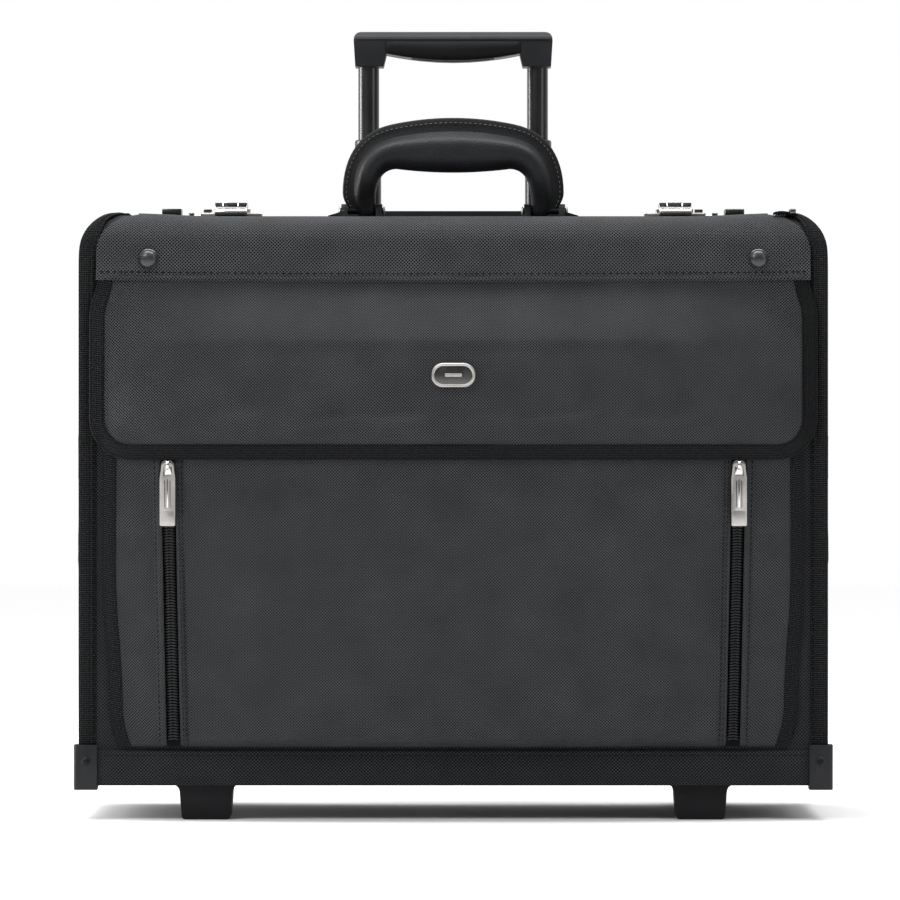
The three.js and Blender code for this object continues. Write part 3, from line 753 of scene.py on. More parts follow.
# ---- edge binding
def seam_stations(side):
    """Points of the binding's fold with the normals of the face and gusset that it joins."""
    half = []
    for z in spread(FLOOR + 22 * MM, TOP - SHOULDER, 60):
        half.append((Vector((HALF, FRONT, z)), Vector((0, -1, 0)), Vector((1, 0, 0))))
    for angle in spread(0, 80, 18)[1:]:
        turn = radians(angle)
        z = TOP - SHOULDER + SHOULDER * sin(turn)
        y = face_depth(z, FRONT, -1)
        rise = max(0.0, z - (TOP - ROLL))
        face = Vector((0, y - (FRONT + ROLL), rise)).normalized()
        half.append((Vector((half_width(z), y, z)), face, Vector((cos(turn), 0, sin(turn)))))
    crown = HALF - SHOULDER + 1.2 * MM
    middle = (FRONT + BACK) / 2
    for y in spread(MOUTH_FRONT + 9 * MM, middle, 22):
        half.append((Vector((crown, y, TOP - crown_dip(crown))), Vector((0, 0, 1)), Vector((0, 0, 1))))
    back = [(Vector((p.x, 2 * middle - p.y, p.z)), Vector((f.x, -f.y, f.z)), g)
            for p, f, g in half[-2::-1]]
    return [(Vector((side * p.x, p.y, p.z)), Vector((side * f.x, f.y, f.z)),
             Vector((side * g.x, g.y, g.z))) for p, f, g in half + back]


def eased(points, rounds):
    """A path with its kinks smoothed out and its ends kept."""
    for _ in range(rounds):
        between = [(a + b * 2 + c) / 4 for a, b, c in zip(points, points[1:], points[2:])]
        points = [points[0], *between, points[-1]]
    return points


for hand, side in SIDES:
    stations = seam_stations(side)
    path = eased([s[0] for s in stations], 6)
    rows, stitch_face, stitch_side, face_normals, side_normals = [], [], [], [], []
    for i, (point, (_, face, gusset)) in enumerate(zip(path, stations)):
        tangent = (path[min(i + 1, len(path) - 1)] - path[max(i - 1, 0)]).normalized()
        on_face = (tangent.cross(face) * -side).normalized()
        on_side = (tangent.cross(gusset) * side).normalized()
        flat = smooth(face.dot(gusset))
        reach = TAPE * (1 - flat) + 3.2 * MM * flat
        reach_side = TAPE * (1 - 0.3 * flat)
        ridge = (face + gusset).normalized()
        outer = [on_face * reach + face * 1.1 * MM, on_face * reach * 0.66 + face * 1.5 * MM,
                 on_face * reach * 0.6 + face * 1.0 * MM, on_face * reach * 0.53 + face * 1.6 * MM,
                 on_face * 1.4 * MM + face * 1.7 * MM, ridge * (2.0 - 0.9 * flat) * MM,
                 on_side * 1.4 * MM + gusset * 1.7 * MM, on_side * reach_side * 0.55 + gusset * 1.6 * MM,
                 on_side * reach_side + gusset * 1.1 * MM]
        inner = [on_side * reach_side + gusset * 0.1 * MM, on_side * 1.4 * MM + gusset * 0.1 * MM,
                 ridge * -0.3 * MM, on_face * 1.4 * MM + face * 0.1 * MM,
                 on_face * reach + face * 0.1 * MM]
        rows.append([point + step for step in outer + inner])
        stitch_face.append(point + on_face * (reach - 1.6 * MM) + face * 1.35 * MM)
        stitch_side.append(point + on_side * (reach_side - 1.6 * MM) + gusset * 1.35 * MM)
        face_normals.append(face)
        side_normals.append(gusset)
    closed(f"binding_{hand}", rows, TAPE_CLOTH, "case", side > 0, [f"edge_binding_{hand}"])
    seam_thread = Stitching(f"binding_stitches_{hand}", "case")
    seam_thread.along(stitch_face, face_normals)
    seam_thread.along(stitch_side, side_normals)
    seam_thread.finish()


# ---- front valance and snaps
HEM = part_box("front_valance")[0].z - 2.4 * MM
HEM_SAG = 1.4 * MM
HEM_REACH = 0.214
CREASE_X = 213 * MM
CREASE_RISE = 22 * MM


def valance_rows():
    """The rolled edge's cloth, lifted over the flap at its hem, with a crease at each end."""
    rows = rolled_rows(FRONT, -1, HEM, 1.5 * MM, TAPE + 0.2 * MM, columns=70)
    for point in (point for row in rows for point in row):
        low = 1 - smooth((point.z - HEM) / (16 * MM))
        point.y -= low * MM * (2.4 + 0.4 * cos(point.x / (38 * MM)))
        point.z += low * (HEM_SAG * (abs(point.x) / HALF) ** 2 - 0.7 * MM)
        point.y -= 0.3 * MM * sin(point.x / (27 * MM)) * smooth((point.z - HEM) / (9 * MM))
        from_crease = (abs(point.x) - CREASE_X) * 0.83 + (point.z - HEM - CREASE_RISE) * 0.55
        fold = exp(-((from_crease / (2.4 * MM)) ** 2))
        point.y -= 0.9 * MM * fold * smooth((TOP - point.z) / (30 * MM))
    return rows


valance = strip("valance", valance_rows(), VALANCE_CLOTH, "case", replaces=["front_valance"])
relax(valance, lambda co: co.z > TOP - ROLL or abs(co.x) > HALF - TAPE - 3 * MM or co.z < HEM + 3 * MM,
      0.8, 0.006, 1.2 * MM)
thicken(valance, 1.1 * MM, edge=0.35 * MM)
valance_skin = Skin(valance)
hem_line = [(x, HEM + 3.6 * MM + HEM_SAG * (abs(x) / HALF) ** 2) for x in spread(-HEM_REACH, HEM_REACH, 40)]
laid_tape("valance_hem", [(x, z - 2.4 * MM) for x, z in hem_line], 2.0 * MM, 0.6 * MM, valance_skin,
          "case", VALANCE_CLOTH)
sew("valance_stitches", "case", [(x, z + 0.9 * MM) for x, z in hem_line], valance_skin,
    THREAD, 3.7 * MM, 2.8 * MM, 0.95 * MM)

DOME = [(0.01, 0), (5.2, 0), (5.3, 0.9), (4.6, 2.1), (3.2, 2.9), (1.6, 3.25), (0.01, 3.35)]
RING = [(5.3, 0), (6.1, 0), (6.2, 0.6), (5.8, 1.0), (5.3, 0.9)]
for hand, _ in SIDES:
    low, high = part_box(f"snap_cap_{hand}")
    centre = Vector(((low.x + high.x) / 2, high.y - 0.4 * MM, (low.z + high.z) / 2))
    lathe(f"snap_dome_{hand}", DOME, centre, (0, -1, 0), CAP_PAINT, "case", replaces=[f"snap_cap_{hand}"])
    lathe(f"snap_ring_{hand}", RING, centre, (0, -1, 0), GLOSS, "case")


# ---- base skirt, guards, feet
SKIRT_LOW, SKIRT_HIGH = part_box("base_skirt")
WELL_LOW, WELL_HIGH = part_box("wheel_housing_right")
SKIRT_SEAM = SKIRT_HIGH.z - 3.6 * MM
SKIRT_SEAM_REACH = 0.212
RIVET_X, RIVET_Z = 223.5 * MM, 36 * MM
HUB_RIBS = 6
HUB_RIB_REACH = 11.2 * MM


def skirt_rows(path):
    """Rows of a band that runs along a plan path of (point, outward) pairs."""
    rows = []
    for z, out in ((FLOOR, -1.2), (FLOOR + 0.3 * MM, -0.2), (FLOOR + 3 * MM, 0.1), (FLOOR + 11 * MM, 0.5),
                   (SKIRT_HIGH.z - 5 * MM, 0.2), (SKIRT_SEAM, -0.1),
                   (SKIRT_HIGH.z - 2.2 * MM, 0.35), (SKIRT_HIGH.z - 0.7 * MM, 0.25), (SKIRT_HIGH.z, -0.6)):
        rows.append([Vector((p[0] + n[0] * out * MM, p[1] + n[1] * out * MM, z)) for p, n in path])
    return rows


def skirt_path():
    """The plan of the skirt from one wheel round the front to the other, as (point, outward) pairs."""
    x, y0, y1 = SKIRT_HIGH.x - 0.3 * MM, SKIRT_LOW.y + 0.3 * MM, SKIRT_HIGH.y - 0.3 * MM
    inner = WELL_HIGH.x + 0.5 * MM
    path = [((-v, y1), (0, 1)) for v in spread(inner, x - 2 * MM, 8)]
    path += [((-x, v), (-1, 0)) for v in spread(y1 - 2 * MM, y0 + 2 * MM, 30)]
    path += [((v, y0), (0, -1)) for v in spread(-x + 2 * MM, x - 2 * MM, 80)]
    path += [((x, v), (1, 0)) for v in spread(y0 + 2 * MM, y1 - 2 * MM, 30)]
    path += [((v, y1), (0, 1)) for v in spread(x - 2 * MM, inner, 8)]
    return path


skirt = strip("skirt", skirt_rows(skirt_path()), BODY_CLOTH, "case", replaces=["base_skirt"])
thicken(skirt, 1.0 * MM)
gap = WELL_LOW.x - 0.5 * MM
rear_path = [((v, SKIRT_HIGH.y - 0.3 * MM), (0, 1)) for v in spread(gap, -gap, 50)]
rear_skirt = strip("skirt_rear", skirt_rows(rear_path), BODY_CLOTH, "case", replaces=["base_skirt_rear"])
thicken(rear_skirt, 1.0 * MM)
seam = [(x, SKIRT_SEAM) for x in spread(-SKIRT_SEAM_REACH, SKIRT_SEAM_REACH, 4)]
sew("skirt_stitches", "case", seam, Skin(skirt))

RIVET = [(0.01, -0.3), (2.0, -0.3), (2.0, 0.1), (1.4, 0.6), (0.01, 0.8)]
for place, facing, corner in (("front", -1, 0), ("rear", 1, 1)):
    for hand, side in SIDES:
        guard = f"{place}_corner_guard_{hand}"
        refined(guard, PLASTIC, 1.0, 3)
        head = Vector((side * RIVET_X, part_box(guard)[corner].y, RIVET_Z))
        lathe(f"{place}_guard_rivet_{hand}", RIVET, head, (0, facing, 0), DARK_PLASTIC, "case", 24)

TYRE = mirrored([(16.5, -10), (22, -10.8), (24, -10), (25, -7.5), (25, -1), (24.3, -0.7)])
HUB = mirrored([(3.35, -11), (6.5, -11), (7, -10), (8, -7.5), (14.5, -7.5), (15.5, -9.5), (16.5, -9.8)])
HUB_RIB = mirrored([(0.01, -8.6), (1.7, -8.6), (2.3, -8)])
for hand, _ in SIDES:
    refined(f"front_foot_{hand}", RUBBER, 2.0, 4)
    refined(f"wheel_housing_{hand}", PLASTIC, 0.8)
    refined(f"wheel_axle_{hand}", PEWTER, 0.5)
    wheel = f"wheel_{hand}"
    centre = sum(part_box(wheel), Vector()) / 2
    lathe(f"tyre_{hand}", TYRE, centre, (1, 0, 0), RUBBER, wheel, 64, [wheel])
    lathe(f"hub_{hand}", HUB, centre, (1, 0, 0), PLASTIC, wheel, 64)
    for number in range(HUB_RIBS):
        turn = 360 / HUB_RIBS * number
        at = centre + Vector((0, cosd(turn), sind(turn))) * HUB_RIB_REACH
        lathe(f"hub_rib_{hand}_{number}", HUB_RIB, at, (1, 0, 0), DARK_PLASTIC, wheel, 20)


# ---- organizer pocket
def bag_edge(z):
    """Half the organizer's width at height z: it narrows toward its foot."""
    foot = max(0.0, 1 - (z - PANEL_LOW.z) / (25 * MM))
    return GUSSET_OUT - 4.0 * MM * smooth((150 * MM - z) / (80 * MM)) - 5.5 * MM * foot**2


def pocket_depth(x, edge=GUSSET_OUT):
    """How far the pocket's skin stands in front of Y = 0."""
    return POCKET_ROOT + POCKET_BULGE * max(0.0, 1 - abs(x / edge) ** 3) ** 0.75


def zip_x(z):
    """How far out a zip's middle stands at height z: the zips lean outward."""
    return ZIP_LOW_X + ZIP_LEAN * (z - PANEL_LOW.z)


def pocket_point(x, z, proud=0.0):
    """A point of the pocket's front at (x, z), tucked under along its foot."""
    full = pocket_depth(x, bag_edge(z))
    low = max(0.0, 1 - (z - PANEL_LOW.z) / FOOT_SLOPE)
    mouth = max(0.0, (z - MOUTH_START) / MOUTH_SLOPE)
    depth = full - (4 * MM * low**2 + 9 * MM * mouth**2) * (full - POCKET_ROOT) / POCKET_BULGE + proud
    radius = min(POCKET_TUCK, 0.85 * (depth + FRONT))
    sink = max(0.0, PANEL_LOW.z + radius - z)
    return Vector((x, -depth + radius - sqrt(max(0.0, radius**2 - sink**2)), z))


def foot_heights(top, steps):
    """Heights up the pocket, close together round its tucked foot."""
    low = PANEL_LOW.z
    curl = [low + POCKET_TUCK * (1 - cosd(a)) for a in spread(0, 90, 9)]
    return curl + spread(low + POCKET_TUCK, top, steps)[1:]


def pocket_patch(name, left, right, columns, soft, material, replaces, proud=0.0):
    """Padded fabric between two edges given as functions of z, with `soft` millimetres of life."""
    rows = []
    for z in foot_heights(PANEL_HIGH.z, 34):
        x0, x1 = left(z), right(z)
        row = []
        for part in spread(0, 1, columns):
            x = x0 + (x1 - x0) * part
            point = pocket_point(x, z, proud)
            away = smooth(min(part, 1 - part) * abs(x1 - x0) / (17 * MM))
            up = smooth((z - PANEL_LOW.z) / (40 * MM))
            wave = sin(x / (61 * MM) + 1.2) * sin(z / (43 * MM)) \
                + 0.6 * sin(x / (29 * MM) - z / (71 * MM)) + 0.35 * sin(z / (17 * MM) + x / (90 * MM))
            under_flap = smooth((FLAP_LOW.z - 4 * MM - z) / (34 * MM))
            point.y -= away * (0.15 + 0.85 * under_flap) * soft * MM * (0.55 * up + 0.22 * wave)
            row.append(point)
        rows.append(row)
    first = rows[0]
    rows.insert(0, [Vector((p.x, FRONT + 0.2 * MM, p.z)) for p in first])
    return strip(name, rows, material, "case", replaces=replaces)


panel_edge = ZIP_HALF + 0.3 * MM
panel = pocket_patch("organizer_front", lambda z: panel_edge - zip_x(z), lambda z: zip_x(z) - panel_edge,
                     72, 3.4, CLOTH, ["organizer_panel"])
relax(panel, lambda co: co.y > FRONT - 4 * MM or co.z > FLAP_LOW.z - 14 * MM
      or abs(co.x) > zip_x(co.z) - panel_edge - 5 * MM or co.z < PANEL_LOW.z + 3 * MM,
      1.6, 0.006, 3.0 * MM)
thicken(panel, 1.8 * MM, LINING)

organizer_thread = Stitching("organizer_stitches", "case")
for hand, side in SIDES:
    inner = [lambda z, s=side: s * (zip_x(z) + panel_edge), lambda z, s=side: s * (bag_edge(z) - 0.3 * MM)]
    left, right = inner if side > 0 else inner[::-1]
    gusset = pocket_patch(f"gusset_{hand}", left, right, 14, 0.9, CLOTH,
                          [f"organizer_gusset_{hand}"])
    thicken(gusset, 1.6 * MM, LINING)
    channel = pocket_patch(f"zip_channel_{hand}", lambda z, s=side: s * zip_x(z) - ZIP_HALF,
                           lambda z, s=side: s * zip_x(z) + ZIP_HALF, 8, 0.0, ZIP_CLOTH,
                           [f"zip_tape_{hand}"], proud=-1.3 * MM)
    thicken(channel, 0.8 * MM)

    # A folded welt on both sides of the coil, then a row of stitches.
    for edge in (-1, 1):
        rows, line, inner_line = [], [], []
        for z in foot_heights(PANEL_HIGH.z - 8 * MM, 60)[2:]:
            fold = []
            for turn in spread(-100, 190, 9):
                across = cosd(turn) * 1.7 * MM
                height = sind(turn) * 0.95 * MM
                x = side * zip_x(z) + edge * (5.9 * MM - across)
                fold.append(pocket_point(x, z, 0.3 * MM + height))
            fold.append(pocket_point(side * zip_x(z) + edge * 9.6 * MM, z, 0.35 * MM))
            fold.append(pocket_point(side * zip_x(z) + edge * 9.6 * MM, z, -0.4 * MM))
            rows.append(fold)
            line.append((side * zip_x(z) + edge * 8.4 * MM, z))
            inner_line.append((side * zip_x(z) + edge * 6.3 * MM, z))
        place = "outer" if edge * side > 0 else "inner"
        welt = closed(f"welt_{hand}_{place}", rows, CLOTH, "case", edge > 0)
        organizer_thread.on_skin(line, Skin(panel, gusset, welt))
        if edge * side < 0:
            organizer_thread.on_skin(inner_line, Skin(panel, gusset, welt))

    # Two interlocked rows of coil.
    coil_verts, coil_faces = [], []
    for z in spread(PANEL_LOW.z + 5 * MM, FLAP_LOW.z - 5 * MM, COIL_TURNS):
        for row in (-1, 1):
            start = pocket_point(side * zip_x(z) + row * 3.9 * MM, z - 0.45 * MM, -0.9 * MM)
            stop = pocket_point(side * zip_x(z) - row * 0.5 * MM, z + 0.45 * MM, 0.1 * MM)
            along = (stop - start).normalized()
            out = Vector((0, -1, 0))
            lift = along.cross(out).normalized()
            base = len(coil_verts)
            for centre, size in ((start, 0.5), (start.lerp(stop, 0.5) + out * 0.4 * MM, 0.66), (stop, 0.5)):
                for turn in range(6):
                    angle = radians(60 * turn)
                    coil_verts.append(centre + (out * cos(angle) + lift * sin(angle)) * size * MM)
            for ring in range(2):
                for turn in range(6):
                    a = base + ring * 6 + turn
                    b = base + ring * 6 + (turn + 1) % 6
                    coil_faces.append((a, b, b + 6, a + 6))
            coil_faces.append(tuple(base + k for k in range(5, -1, -1)))
            coil_faces.append(tuple(base + 12 + k for k in range(6)))
    new_piece(f"zip_coil_{hand}", coil_verts, coil_faces, COIL, "case")

    # The tape that binds the pocket's outer edge to the case.
    rows, line = [], []
    for z in foot_heights(PANEL_HIGH.z - 2 * MM, 90):
        across = [side * (bag_edge(z) - inset * MM) for inset in (0.1, 0.8, 2.6, 4.4, 6.2, 8.0, 8.6)]
        lifts = (0.4, 1.1, 1.2, 1.25, 1.2, 1.1, 0.4)
        fold = [pocket_point(x, z, lift * MM) for x, lift in zip(across, lifts)]
        rows.append(fold + [pocket_point(x, z, -0.4 * MM) for x in across[::-1]])
        line.append((across[4] + side * 0.4 * MM, z))
    bound = closed(f"organizer_binding_{hand}", rows, TAPE_CLOTH, "case", side < 0)
    organizer_thread.on_skin(line, Skin(bound))
organizer_thread.finish()

# ---- flap
FLAP_WIDE = FLAP_HIGH.x - 0.5 * MM
FLAP_CURVE = 266 * MM


def flap_reach(z):
    """Half the flap's width at height z: round lower corners, drawn in a little under the hem."""
    rise = FLAP_LOW.z + FLAP_CORNER - z
    if rise > 0:
        return FLAP_WIDE - FLAP_CORNER + sqrt(max(0.0, FLAP_CORNER**2 - rise**2))
    return FLAP_WIDE - 5 * MM * (1 - smooth((FLAP_HIGH.z - z) / (24 * MM)))


def flap_point(x, z, proud=0.0):
    """A point of the flap's face below its roll."""
    return Vector((x, -pocket_depth(x) - FLAP_STAND - proud, z))


def flap_rows():
    """Rows of the flap from its lower edge to where it is sewn under the hem."""
    heights = [FLAP_LOW.z + FLAP_CORNER * (1 - cosd(a)) for a in spread(4, 90, 12)]
    heights += spread(FLAP_LOW.z + FLAP_CORNER, FLAP_CURVE, 12)[1:]
    rows = []
    for z in heights:
        reach = flap_reach(z)
        up = smooth((z - FLAP_LOW.z) / (18 * MM))
        row = []
        for x in spread(-reach, reach, 84):
            inside = smooth((FLAP_WIDE - abs(x)) / (20 * MM)) * up * smooth((FLAP_CURVE - z) / (14 * MM))
            wave = sin(x / (83 * MM) + 0.6) * sin(z / (27 * MM) + 1) + 0.5 * sin(x / (37 * MM))
            row.append(flap_point(x, z, inside * MM * (0.5 + 0.28 * wave) - (1 - up) * 0.5 * MM))
        rows.append(row)
    columns = [under_the_hem(part) for part in spread(-1, 1, 84)]
    return rows + [[column[step] for column in columns] for step in range(1, len(columns[0]))]


def under_the_hem(part, count=30):
    """The upper flap's section, curving back to the case; part runs from -1 to 1 across it."""
    depth = pocket_depth(part * FLAP_WIDE) + FLAP_STAND
    root = -FRONT + 2.4 * MM
    section = bezier([(-depth / MM, FLAP_CURVE / MM), (-depth / MM, 301),
                      (-root / MM - 0.4, 311), (-root / MM, FLAP_HIGH.z / MM + 0.5)], count)
    return [Vector((part * flap_reach(point.y), point.x, point.y)) for point in section]


flap = strip("flap", flap_rows(), CLOTH, None, replaces=["pocket_flap"])
relax(flap, lambda co: co.z > FLAP_CURVE + 24 * MM or abs(co.x) > flap_reach(co.z) - 12 * MM
      or co.z < FLAP_LOW.z + 12 * MM, 1.2, 0.006, 2.0 * MM)
thicken(flap, 2.4 * MM, LINING)


def flap_outline(inset):
    """The flap's outline, inset, from its upper left corner round to its upper right one."""
    low = FLAP_LOW.z + inset
    radius = FLAP_CORNER - inset
    side = [(flap_reach(z) - inset, z) for z in spread(FLAP_HIGH.z - 1.5 * MM, low + radius, 24)]
    middle = FLAP_WIDE - inset - radius
    path = [(-x, z) for x, z in side]
    path += arc(-middle, low + radius, radius, 180, 270, 12)[1:]
    path += [(v, low) for v in spread(-middle, middle, 60)[1:]]
    path += arc(middle, low + radius, radius, 270, 360, 12)[1:]
    return path + side[-2::-1]


flap_tape = laid_tape("flap_binding", flap_outline(4.7 * MM), 8.6 * MM, 1.1 * MM, Skin(flap), None)
edge_rows = []
flap_skin = Skin(flap)
for point, tangent in resample(flap_outline(0.5 * MM), 3 * MM):
    out = Vector((tangent.y, 0, -tangent.x))
    inward = point - Vector((out.x, out.z)) * 1.2 * MM
    hit = flap_skin.front(inward.x, inward.y)
    if hit is None:
        continue
    base = Vector((point.x, hit[0].y, point.y))
    edge_rows.append([base + out * MM * (0.1 + cosd(a) * 0.9)
                      + Vector((0, 1.0 - 2.0 * sind(a), 0)) * MM for a in spread(-70, 250, 9)])
closed("flap_edge", edge_rows, TAPE_CLOTH, None)
sew("flap_stitches", None, flap_outline(7.6 * MM)[3:-3], Skin(flap, flap_tape))

# The flap's cloth curves back under the hem that it is sewn under, so nothing of it cuts through the valance.
# Its pieces ride no body: their placement is baked into their meshes.
for piece_name in ("flap", "flap_binding", "flap_edge", "flap_stitches"):
    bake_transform(bpy.data.objects[piece_name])

# A plain lozenge badge with a raised rim.
refined("emblem_plate", DARK_METAL, 0.35, 3)
badge_low, badge_high = millimetres("emblem_plate")
badge_y, badge_z = badge_low.y, (badge_low.z + badge_high.z) / 2
rim_rows = []
rim_path = arc(6, badge_z, 6.4, -90, 90, 14) + arc(-6, badge_z, 6.4, 90, 270, 14)
for i, (x, z) in enumerate(rim_path):
    ahead, behind = rim_path[(i + 1) % len(rim_path)], rim_path[i - 1]
    out = Vector((ahead[1] - behind[1], 0, behind[0] - ahead[0])).normalized()
    centre = Vector((x, badge_y - 0.1, z))
    rim_rows.append([(centre + out * 0.95 * cosd(a) - Vector((0, 0.7 * sind(a), 0))) * MM
                     for a in spread(0, 360, 10)[:-1]])
strip("badge_rim", rim_rows + rim_rows[:1], PEWTER, "pocket_flap", wrap=True)
rounded_box("badge_bar", (-5.2, badge_y - 0.9, badge_z - 1.0), (5.2, badge_y + 0.1, badge_z + 1.0), 0.45,
            PEWTER, "pocket_flap")

for hand, _ in SIDES:
    refined(f"zip_slider_{hand}", CHROME, 0.35)
    tab = f"pull_tab_{hand}"
    refined(tab, PEWTER, 0.35)
    low, high = millimetres(tab)
    x, y, foot, top = (low.x + high.x) / 2, low.y, low.z, high.z
    rounded_box(f"tab_foot_{hand}", (x - 4.1, y - 0.28, foot + 0.8), (x + 4.1, y + 0.2, foot + 9.4), 0.25,
                PEWTER, tab)
    rounded_box(f"tab_line_{hand}", (x - 0.45, y - 0.22, foot + 11.2), (x + 0.45, y + 0.1, top - 9.4), 0.12,
                CHROME, tab)
    for place, at in (("left", x - 1.6), ("right", x + 1.6)):
        rounded_box(f"tab_rib_{hand}_{place}", (at - 0.25, y - 0.18, foot + 11.2),
                    (at + 0.25, y + 0.1, top - 10.4), 0.1, DARK_METAL, tab)


# ---- top: leaves, spine, locks
def pad(name, node, crown, material, hinge_y=None):
    """A padded board with rounded edges and a crowned top, eased down where it meets the case."""
    low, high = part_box(node)

    def ease(x, y):
        return 0.0 if hinge_y is None else crown_dip(x) * (1 - smooth(abs(y - hinge_y) / (34 * MM)))

    rows = []
    radius = 1.8 * MM
    stations = [low.x + radius * (1 - cosd(a)) for a in spread(0, 90, 5)]
    stations += spread(low.x + radius, high.x - radius, 60)[1:-1]
    stations += [high.x - radius * (1 - sind(a)) for a in spread(0, 90, 5)]
    for x in stations:
        end = min(x - low.x, high.x - x)
        drop = 0 if end >= radius else radius - sqrt(max(0.0, radius**2 - (radius - end) ** 2))
        fall = crown * (1 - smooth(end / (22 * MM)))
        y0, y1 = low.y + drop * 0.6, high.y - drop * 0.6
        loop = []
        for y in spread(y0 + radius, y1 - radius, 10):
            across = 1 - smooth(min(y - y0, y1 - y) / (15 * MM))
            loop.append(Vector((x, y, high.z - drop - max(fall, crown * across) - ease(x, y))))
        edges = [high.z - drop - crown - ease(x, y) for y in (y0, y1)]
        loop += [Vector((x, y1 - radius * (1 - cosd(a)),
                         edges[1] - radius * (1 - sind(a)))) for a in (60, 30, 0)]
        loop += [Vector((x, y1, low.z + drop + 0.6 * MM)), Vector((x, y1 - 0.6 * MM, low.z + drop)),
                 Vector((x, y0 + 0.6 * MM, low.z + drop)), Vector((x, y0, low.z + drop + 0.6 * MM))]
        loop += [Vector((x, y0 + radius * (1 - cosd(a)),
                         edges[0] - radius * (1 - sind(a)))) for a in (0, 30, 60)]
        rows.append(loop)
    piece = closed(name, rows, material, BODY_OF[node], True, [node])
    sharpen(piece, 60)
    return piece


def border_stitches(name, node, inset, cover):
    """A row of stitches round a pad, laid on its cover from above."""
    low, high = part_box(node)
    tree = tree_of(cover)
    thread = Stitching(name, BODY_OF[node])
    corners = [(low.x + inset, low.y + inset), (high.x - inset, low.y + inset),
               (high.x - inset, high.y - inset), (low.x + inset, high.y - inset)]
    for (x0, y0), (x1, y1) in zip(corners, corners[1:] + corners[:1]):
        line = []
        for part in spread(0, 1, 30):
            top = Vector((x0 + (x1 - x0) * part, y0 + (y1 - y0) * part, 0.6))
            line.append(tree.ray_cast(top, Vector((0, 0, -1)))[0] + Vector((0, 0, 0.05 * MM)))
        thread.along(line, [Vector((0, 0, 1))] * len(line))
    thread.finish()


for leaf, hinge_y in (("front_leaf", MOUTH_FRONT), ("rear_leaf", MOUTH_BACK)):
    cover = pad(f"{leaf}_cover", leaf, 1.0 * MM, BODY_CLOTH, hinge_y)
    border_stitches(f"{leaf}_stitches", leaf, 4 * MM, cover)
spine = pad("spine_cover", "centre_spine", 0.4 * MM, LEATHER)
border_stitches("spine_stitches", "centre_spine", 3 * MM, spine)

DIAL = [(0.01, 0), (1.4, 0), (1.8, 0.35), (1.8, 2.3), (1.4, 2.7), (0.01, 2.7)]
for hand, side in SIDES:
    hasp = f"lock_hasp_{hand}"
    refined(f"lock_body_{hand}", CHROME, 0.45, 3)
    refined(hasp, CHROME, 0.3)
    refined(f"lock_slide_{hand}", DARK_METAL, 0.3)
    refined(f"rear_catch_{hand}", DARK_METAL, 0.5)
    low, high = millimetres(hasp)
    middle = (low.x + high.x) / 2
    for part, start, stop in (("m10", -9.9, -5.4), ("m5", -4.9, 4.1), ("5", 4.6, 9.9)):
        rounded_box(f"hasp_lip_{hand}_{part}", (middle + start, low.y + 2.4, high.z - 3.0),
                    (middle + stop, low.y + 8.0, high.z - 1.2), 0.35, DARK_METAL, hasp)
    low, high = millimetres(f"lock_body_{hand}")
    centre = (low.x + high.x) / 2
    rounded_box(f"lock_plate_{hand}", (centre - 17.3, low.y - 0.4, low.z + 0.7),
                (centre + 17.3, low.y + 2.6, low.z + 3.0), 0.5, PEWTER, "case")
    for number, out in enumerate((17.5, 25)):
        at = Vector((centre + side * out, low.y + 2.2, low.z + 0.4)) * MM
        lathe(f"dial_{hand}_{number}", DIAL, at, (0, 0, 1), DARK_METAL, "case", 20)
    left, right = sorted((centre + side * 15, centre + side * 25))
    rounded_box(f"dial_bar_{hand}", (left, low.y + 1.6, low.z + 0.4), (right, low.y + 3.0, low.z + 1.6),
                0.3, CHROME, "case")

# ---- carry handle
HANDLE_LOW, HANDLE_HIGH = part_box("carry_handle")
HANDLE_Y = (HANDLE_LOW.y + HANDLE_HIGH.y) / 2
PIVOT_Z = 374.8 * MM
PIN_HEAD = [(0.01, 0), (2.9, 0), (3.0, 0.4), (2.2, 1.0), (0.01, 1.3)]
LEG_IN, LEG_OUT = 48.5 * MM, 65.5 * MM
LEG_HALF = 4.3 * MM
GRIP_SWELL = 6.9 * MM


def handle_edges():
    """The handle's inner and outer edges in XZ from its left foot to its right, in step."""
    inner = bezier([(-48.5, 370.5), (-48.5, 383)], 8)
    inner += bezier([(-48.5, 383), (-47.5, 400.5), (-35.5, 401)], 14)[1:]
    outer = bezier([(-63.4, 370.5), (-63.6, 374), (-66, 378), (-69, 381.5), (-69, 386)], 8)
    outer += bezier([(-69, 386), (-69, 407), (-60, 424.5), (-38, 429)], 14)[1:]
    inner += bezier([(-35.5, 401), (0, 396.5), (35.5, 401)], 24)[1:]
    outer += bezier([(-38, 429), (0, 437), (38, 429)], 24)[1:]
    for path in (inner, outer):
        path += [Vector((-p.x, p.y)) for p in path[22::-1]][1:]
    return inner, outer


def handle_depth(z):
    """Half the thickness of the padded grip at height z."""
    if z < PIVOT_Z:
        return sqrt(max(0.3 * MM, LEG_HALF - (PIVOT_Z - z)) * (LEG_HALF + PIVOT_Z - z))
    return LEG_HALF + GRIP_SWELL * smooth((z - PIVOT_Z + 2 * MM) / (27 * MM))


